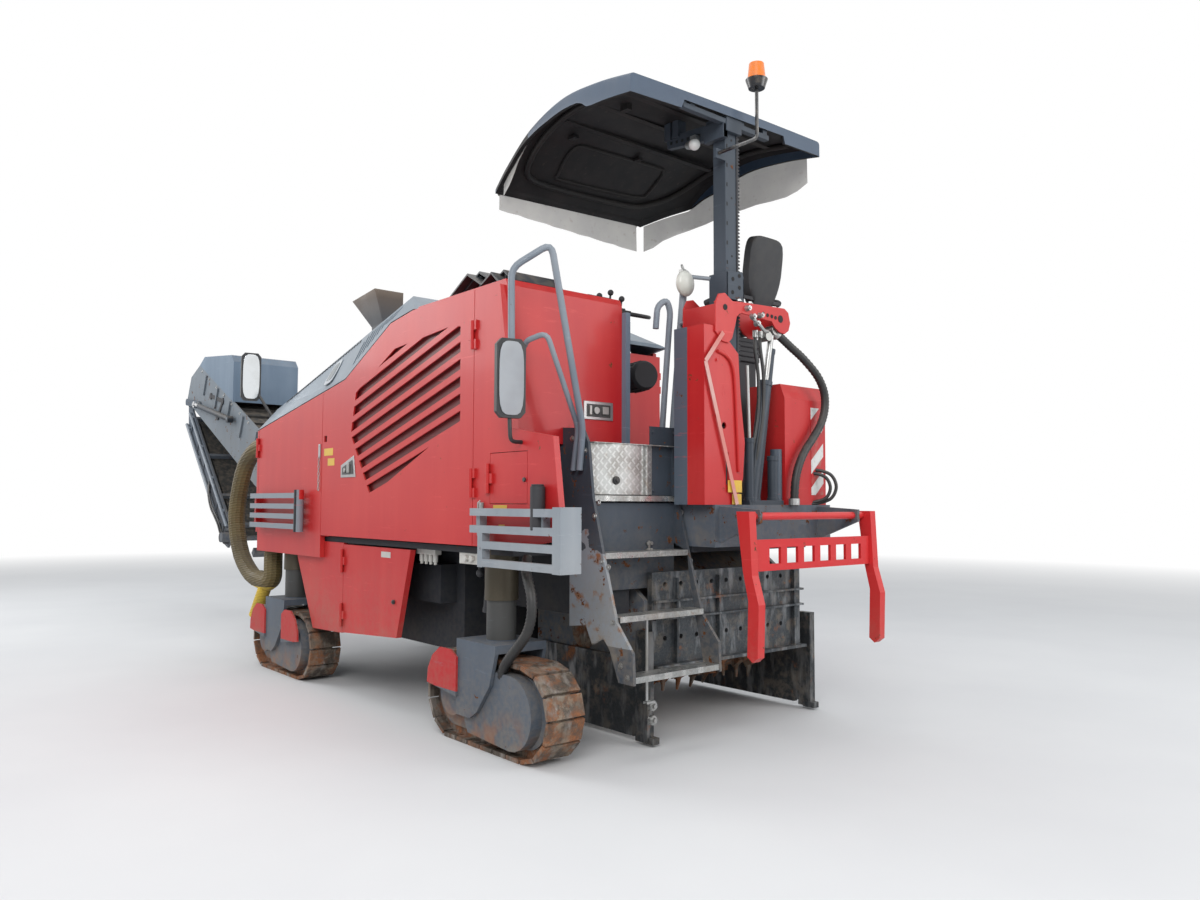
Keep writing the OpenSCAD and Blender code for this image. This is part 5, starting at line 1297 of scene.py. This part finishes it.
class PLANER_OT_exhaust(bpy.types.Operator):
    """Heat-browned exhaust outlet and the folded rain shield on the tower"""

    bl_idname = "planer.exhaust"
    bl_label = "Exhaust"

    def execute(self, context):
        heat = Finish("exhaust_heat", Metallic=0.35)
        cloud = heat.noise(5, 5)
        hot = heat.z.over(2.98, 3.22)
        tone = heat.shade((hot * 0.8 + cloud * 0.3).limited(), (0.045, 0.055, 0.066), (0.105, 0.075, 0.055))
        lip = heat.z.over(3.16, 3.24)
        tone = heat.shade(lip * 0.6, tone, (0.20, 0.16, 0.13))
        paint = heat.finish(tone, (cloud * 0.3 + 0.4).limited(), None, heat.noise(40, 4), 0.001)
        bm = bmesh.new()

        def ring(x0, x1, y0, y1, z0, z1):
            return at_all([(x0, y0, z0), (x1, y0, z1), (x1, y1, z1), (x0, y1, z0)])

        add_loft(bm, [ring(1930, 2130, 770, 950, 2700, 2660), ring(1930, 2130, 770, 950, 2950, 2930), ring(1990, 2340, 740, 980, 3165, 3120),
                      ring(2006, 2420, 730, 990, 3230, 3190), ring(2018, 2408, 742, 978, 3228, 3188), ring(2002, 2326, 752, 968, 3160, 3116),
                      ring(1945, 2115, 782, 938, 2960, 2940)])
        outlet = make_piece("exhaust_outlet", bm, "frame", paint, bevel=0.004)
        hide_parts("exhaust")
        shade = plain("shield_black", (0.018, 0.021, 0.026), (0.045, 0.050, 0.058), 0.45, dusting=0.5)
        bm = bmesh.new()
        fold = [(200, 2968), (290, 3046), (410, 2990), (590, 3092), (820, 2972), (830, 2984), (590, 3110), (410, 3006), (290, 3064),
                (186, 2978)]
        for y, k in ((470, 0), (560, 1)):
            add_prism(bm, [at(x + 60 * k, y, z - 14 * k) for x, z in fold], (0, 0.43 - 0.03 * k, 0))
        for x, z in ((280, 3040), (410, 2985), (590, 3080)):
            for y in (520, 860):
                add_box(bm, at(x, y, 2855), at(x + 24, y + 24, z))
        make_piece("rain_shield", bm, "frame", shade, bevel=0.003)
        return {"FINISHED"}


class PLANER_OT_seat(bpy.types.Operator):
    """Padded seat and back on their suspension box"""

    bl_idname = "planer.seat"
    bl_label = "Seat"

    def cushion(self, name, centre, half, turn, waist, cover):
        """A crowned pad: half its width, length and thickness, pinched in by waist towards its lower end."""
        bm = bmesh.new()
        bmesh.ops.create_cube(bm, size=2.0)
        bmesh.ops.subdivide_edges(bm, edges=bm.edges[:], cuts=11, use_grid_fill=True)
        spin = Matrix.Rotation(math.radians(turn), 3, "Y")
        for v in bm.verts:
            u, w, t = v.co
            corner = (abs(u) ** 5 + abs(w) ** 5) ** 0.2
            pull = 1.0 / max(1.0, corner)
            crown = 1.0 - 0.42 * max(abs(u), abs(w)) ** 4
            seam = 0.10 * math.exp(-((abs(w) - 0.62) / 0.05) ** 2) + 0.08 * math.exp(-((u + 0.15) / 0.06) ** 2) * (abs(w) < 0.62)
            narrow = 1.0 - waist * max(0.0, -u) ** 1.5
            local = Vector((t * half[2] * (crown - (seam if t > 0.5 else 0)), w * half[0] * pull * narrow, u * half[1] * pull))
            v.co = at(*(Vector(centre) + spin @ local))
        piece = make_piece(name, bm, "frame", cover, smooth=60)

    def execute(self, context):
        cover = plain("seat_cover", (0.010, 0.011, 0.013), (0.030, 0.031, 0.034), 0.62, grain=260, depth=0.0012, dusting=0.25)
        self.cushion("seat_back", (-390, -960, 3215), (185, 262, 52), -8, 0.38, cover)
        self.cushion("seat_pad", (-150, -940, 2835), (215, 205, 58), 84, 0.1, cover)
        bm = bmesh.new()
        add_box(bm, at(-260, -1040, 1870), at(-40, -840, 2560))
        for k in range(5):
            add_box(bm, at(-280 - 6 * (k % 2), -1060, 2560 + 36 * k), at(-20 + 6 * (k % 2), -820, 2596 + 36 * k))
        add_box(bm, at(-360, -1010, 2770), at(-20, -870, 2800))
        add_prism(bm, at_all([(-330, -1000, 2770), (-290, -1000, 2770), (-380, -1000, 3260), (-420, -1000, 3260)]), (0, 0.11, 0))
        frame_piece = make_piece("seat_frame", bm, "frame", bpy.data.materials["black_plastic"], bevel=0.008)
        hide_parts("seat")
        bm = bmesh.new()
        for y in (-1165, -745):
            add_tube(bm, smooth_path(at_all([(-380, y, 3010), (-330, y, 3030), (-100, y, 3030), (-20, y, 3020)]), 5), 0.026, 12)
            add_box(bm, at(-400, min(y, -955), 2996), at(-380, max(y, -955), 3020))
        make_piece("arm_rests", bm, "frame", bpy.data.materials["black_plastic"], smooth=50)
        return {"FINISHED"}


class PLANER_OT_belt_fittings(bpy.types.Operator):
    """Tubes, hoses, motor, lamp and levers on the two belt frames"""

    bl_idname = "planer.belt_fittings"
    bl_label = "Belt fittings"

    def execute(self, context):
        tilt = math.radians(24)

        def lower(x, y, z):
            """A point given along the lower belt frame."""
            return at(4600 + x * math.cos(tilt) - z * math.sin(tilt), y, 1300 + x * math.sin(tilt) + z * math.cos(tilt))

        def upper(x, y, z):
            """A point given along the folded upper belt frame, from its knee."""
            return at(8970 - 0.7313 * x + 0.682 * z, y, 2917 - 0.682 * x - 0.7313 * z)

        black, zinc = bpy.data.materials["black_plastic"], bpy.data.materials["zinc"]
        rubber = bpy.data.materials["hose_rubber"]
        tube = bpy.data.materials["tube_grey"]
        bm = bmesh.new()
        for a, b in (((3710, 114), (3229, 211)), ((3229, 211), (3311, -40))):
            side = (Vector((b[1] - a[1], 0, a[0] - b[0])).normalized() * 26)
            add_prism(bm, [lower(a[0] + side.x, 421, a[1] + side.z), lower(b[0] + side.x, 421, b[1] + side.z),
                           lower(b[0] - side.x, 421, b[1] - side.z), lower(a[0] - side.x, 421, a[1] - side.z)], (0, 0.010, 0))
        for x, z in ((3710, 114), (3229, 211), (3311, -40)):
            add_round(bm, lower(x, 421, z), (0, 1, 0), 0.044, 0.013, 24)
        make_piece("belt_lever", bm, "belt_lower", black, bevel=0.003)
        bm = bmesh.new()
        for k in range(12):
            add_bolt(bm, lower(500 + 340 * k, 420, 290), (0, 1, 0), 0.026)
            add_bolt(bm, lower(500 + 340 * k, -420, 290), (0, -1, 0), 0.026)
        make_piece("belt_wall_bolts", bm, "belt_lower", zinc)
        bm = bmesh.new()
        for k in range(7):
            for out in (1, -1):
                x = 760 + 540 * k
                corners = ((x, 24), (x + 34, 24), (x + 34, 306), (x, 306))
                add_prism(bm, [lower(a, 420 * out, b) for a, b in corners], (0, 0.022 * out, 0))
        make_piece("belt_wall_ribs", bm, "belt_lower", bpy.data.materials["belt_wall"], bevel=0.002)

        bm = bmesh.new()
        for z, out in ((262, 1), (62, 1), (262, -1), (62, -1)):
            add_tube(bm, [upper(180, 418 * out, z), upper(2480, 418 * out, z)], 0.021, 12)
            for x in (260, 900, 1540, 2180):
                corners = ((x, z - 26), (x + 44, z - 26), (x + 44, z + 26), (x, z + 26))
                add_prism(bm, [upper(a, 393 * out, b) for a, b in corners], (0, 0.022 * out, 0))
        make_piece("upper_tubes", bm, "belt_upper", tube, smooth=50)
        bm = bmesh.new()
        for k in range(6):
            x = 300 + 400 * k
            for out in (1, -1):
                corners = ((x, 90), (x + 30, 90), (x + 90, 236), (x + 60, 236))
                add_prism(bm, [upper(a, 393 * out, b) for a, b in corners], (0, 0.014 * out, 0))
        make_piece("upper_ribs", bm, "belt_upper", bpy.data.materials["belt_upper_paint"], bevel=0.002)
        bm = bmesh.new()
        motor = upper(2560, 395, 170)
        add_round(bm, motor, (0, 1, 0), 0.085, 0.05, 28)
        add_round(bm, motor + Vector((0, 0.04, 0)), (0, 1, 0), 0.062, 0.055, 28)
        make_piece("belt_motor", bm, "belt_upper", black, bevel=0.003)
        for k, z in enumerate((150, 200)):
            run = [upper(1500, 402, z + 30), upper(1700, 440, z + 46), upper(1950, 466, z + 30), upper(2150, 472, z - 10),
                   upper(2330, 470, z - 30), upper(2470, 462, z - 6), upper(2545, 452, 150 + 20 * k)]
            make_hose(f"belt_hose_{k}", smooth_path(run, 6), BELT_HOSE, "belt_upper", rubber)
        bm = bmesh.new()
        lamp = upper(2640, 300, -18)
        add_round(bm, lamp, (-1, 0, -0.4), 0.062, 0.07, 24, 0.052)
        add_prism(bm, [upper(2590, 300, -30), upper(2640, 300, -30), upper(2640, 300, 30), upper(2590, 300, 30)], (0, 0.03, 0))
        make_piece("belt_lamp", bm, "belt_upper", black, bevel=0.003)
        return {"FINISHED"}


class PLANER_OT_flank_fittings(bpy.types.Operator):
    """Levelling cylinder, side plate's guide rod, canister and levers at the console, and the riser's panel"""

    bl_idname = "planer.flank_fittings"
    bl_label = "Flank and console fittings"

    def execute(self, context):
        black, zinc = bpy.data.materials["black_plastic"], bpy.data.materials["zinc"]
        bm = bmesh.new()
        a, b = at(112, 1100, 1150), at(141, 1100, 809)
        add_round(bm, a, b - a, 0.024, (b - a).length, 20)
        add_round(bm, a, b - a, 0.029, 0.04, 20)
        add_round(bm, b, a - b, 0.028, 0.03, 20)
        for x, z in ((229, 1156), (226, 1048)):
            bmesh.ops.create_uvsphere(bm, u_segments=18, v_segments=12, radius=0.026, matrix=Matrix.Translation(at(x, 1100, z)))
        add_tube(bm, at_all([(229, 1100, 1156), (226, 1100, 1048)]), 0.012, 10)
        add_tube(bm, at_all([(112, 1100, 1140), (229, 1100, 1156)]), 0.014, 10)
        add_box(bm, at(90, 1060, 1120), at(140, 1130, 1222))
        make_piece("level_cylinder", bm, "frame", black, smooth=50)

        bm = bmesh.new()
        add_round(bm, at(-640, 452, 300), (0, 0, 1), 0.010, 0.503, 16)
        make_piece("side_plate_guide", bm, "frame", zinc, smooth=40)

        bm = bmesh.new()
        for z in (176, 262):
            add_round(bm, at(-628, 405, z), (-1, 0, 0), 0.030, 0.024, 20)
            add_bolt(bm, at(-652, 405, z), (-1, 0, 0), 0.034)
        for x in (-657, -627):
            add_box(bm, at(x, 398, 281), at(x + 4, 466, 295))
        add_box(bm, at(-657, 394, 281), at(-623, 400, 295))
        make_piece("side_plate_eyes", bm, "side_plate_left", zinc, smooth=40)

        bm = bmesh.new()
        can, way = at(262, -236, 2425), Vector((-1, 0.25, 0.0)).normalized()
        add_round(bm, can, way, 0.108, 0.20, 32)
        add_round(bm, can + way * 0.2, way, 0.108, 0.03, 32, 0.094)
        for k in range(20):
            angle = 2 * math.pi * k / 20
            rim = way.orthogonal().normalized()
            across = way.cross(rim)
            spot = can + 0.108 * (math.cos(angle) * rim + math.sin(angle) * across)
            add_tube(bm, [spot + way * 0.02, spot + way * 0.18], 0.006, 6)
        make_piece("air_canister", bm, "frame", black, bevel=0.003, smooth=30)

        bm = bmesh.new()
        for x, y, tall in ((180, 60, 0.16), (210, 140, 0.13), (150, -20, 0.12)):
            foot = at(x, y, 2850)
            add_tube(bm, [foot, foot + Vector((-0.02, 0, tall))], 0.008, 10)
            bmesh.ops.create_uvsphere(bm, u_segments=16, v_segments=10, radius=0.022, matrix=Matrix.Translation(foot + Vector((-0.02, 0, tall))))
        add_box(bm, at(110, -40, 2866), at(300, 250, 2900))
        add_box(bm, at(210, 20, 2896), at(300, 230, 2985))
        for k in range(6):
            add_round(bm, at(140, -10 + 44 * k, 2900), (0, 0, 1), 0.012, 0.012, 12)
        make_piece("console_levers", bm, "frame", black, bevel=0.003, smooth=40)

        bm = bmesh.new()
        add_box(bm, at(-448, 12, 1548), at(-436, 240, 1998))
        for y in (30, 220):
            for z in (1580, 1960):
                add_bolt(bm, at(-448, y, z), (-1, 0, 0), 0.018)
        make_piece("riser_panel", bm, "frame", bpy.data.materials["slate_ladder"], bevel=0.002)
        return {"FINISHED"}


class PLANER_OT_warning_panel(bpy.types.Operator):
    """Red and white slanted bars on the cabinet, and the two blank yellow plates"""

    bl_idname = "planer.warning_panel"
    bl_label = "Warning bars"

    def execute(self, context):
        f = Finish("slanted_bars")
        bar = ((f.y * 0.9 + f.z) * 5.2).fraction() < 0.5
        tone = f.shade(bar, colour("red"), (0.66, 0.66, 0.64))
        tone = f.shade(f.noise(16, 6).over(0.52, 0.72) * 0.5, tone, colour("dust"))
        paint = f.finish(tone, (f.noise(30) * 0.3 + 0.25).limited())
        bm = bmesh.new()
        add_box(bm, at(-783, -1150, 1560), at(-780, -1010, 2180))
        make_piece("warning_bars", bm, "frame", paint, bevel=0.0008)
        sign = bpy.data.materials["sign_yellow"]
        bm = bmesh.new()
        add_box(bm, at(-803, -245, 1570), at(-801, -110, 1648))
        add_box(bm, at(-803, -240, 1492), at(-801, -150, 1560))
        make_piece("yellow_plates", bm, "frame", sign, bevel=0.0008)
        return {"FINISHED"}


class PLANER_OT_mirror_faces(bpy.types.Operator):
    """Grey back and glass of each mirror"""

    bl_idname = "planer.mirror_faces"
    bl_label = "Mirror faces"

    def execute(self, context):
        back = plain("mirror_back", (0.40, 0.42, 0.44), (0.30, 0.31, 0.33), 0.5, dusting=0.35)
        glass = Finish("mirror_glass", Metallic=1.0)
        haze = glass.noise(5, 5)
        glass = glass.finish(glass.shade(haze.over(0.5, 0.75) * 0.3, (0.75, 0.78, 0.80), (0.45, 0.44, 0.40)), (haze * 0.12).limited())
        for name, centre, turn, side in (
            ("rear_left", (-440, 1330, 2215), -12, -1),
            ("front_left", (4080, 1240, 2700), -10, 1),
            ("front_right", (4080, -1240, 2700), 10, 1),
        ):
            spin = Matrix.Rotation(math.radians(turn), 3, "Z")
            for kind, paint, x in (("back", back, -1), ("glass", glass, 41)):
                face = x if side < 0 else 40 - x
                bm = bmesh.new()
                ring = []
                for k in range(28):
                    a = 2 * math.pi * k / 28
                    c, s = math.cos(a), math.sin(a)
                    r = (abs(c) ** 4 + abs(s) ** 4) ** -0.25
                    local = Vector((0, 76 * r * c, 214 * r * s))
                    ring.append(at(*(Vector(centre) + spin @ (local + Vector((face, 0, 0))))))
                out = spin @ Vector((1 if face > 20 else -1, 0, 0))
                add_prism(bm, ring, out * 0.006)
                make_piece(f"mirror_{kind}_{name}", bm, "frame", paint, bevel=0.002)
        return {"FINISHED"}


class PLANER_PT_panel(bpy.types.Panel):
    """Lists the pieces in the sidebar"""

    bl_idname = "PLANER_PT_panel"
    bl_label = "Cold planer"
    bl_space_type = "VIEW_3D"
    bl_region_type = "UI"
    bl_category = "Cold planer"

    def draw(self, context):
        for operator in OPERATORS:
            self.layout.operator(operator.bl_idname)
        for group in (context.scene.planer_colours, context.scene.planer_sizes):
            for name in group.bl_rna.properties.keys():
                if name not in ("rna_type", "name"):
                    self.layout.prop(group, name)


OPERATORS = (
    PLANER_OT_camera,
    PLANER_OT_stage,
    PLANER_OT_paint_red,
    PLANER_OT_paint_grey,
    PLANER_OT_tracks,
    PLANER_OT_bare_metal,
    PLANER_OT_rubber_and_plastic,
    PLANER_OT_shoulder,
    PLANER_OT_steps,
    PLANER_OT_fittings,
    PLANER_OT_lamps,
    PLANER_OT_hoses,
    PLANER_OT_canopy,
    PLANER_OT_mast,
    PLANER_OT_exhaust,
    PLANER_OT_seat,
    PLANER_OT_belt_fittings,
    PLANER_OT_flank_fittings,
    PLANER_OT_warning_panel,
    PLANER_OT_mirror_faces,
)
CLASSES = (PlanerColours, PlanerSizes, *OPERATORS, PLANER_PT_panel)


def register():
    for made in CLASSES:
        bpy.utils.register_class(made)
    bpy.types.Scene.planer_colours = PointerProperty(type=PlanerColours)
    bpy.types.Scene.planer_sizes = PointerProperty(type=PlanerSizes)


def unregister():
    del bpy.types.Scene.planer_sizes
    del bpy.types.Scene.planer_colours
    for made in reversed(CLASSES):
        bpy.utils.unregister_class(made)


def main():
    register()
    for operator in OPERATORS:
        group, name = operator.bl_idname.split(".")
        getattr(getattr(bpy.ops, group), name)()


if __name__ == "__main__":
    main()
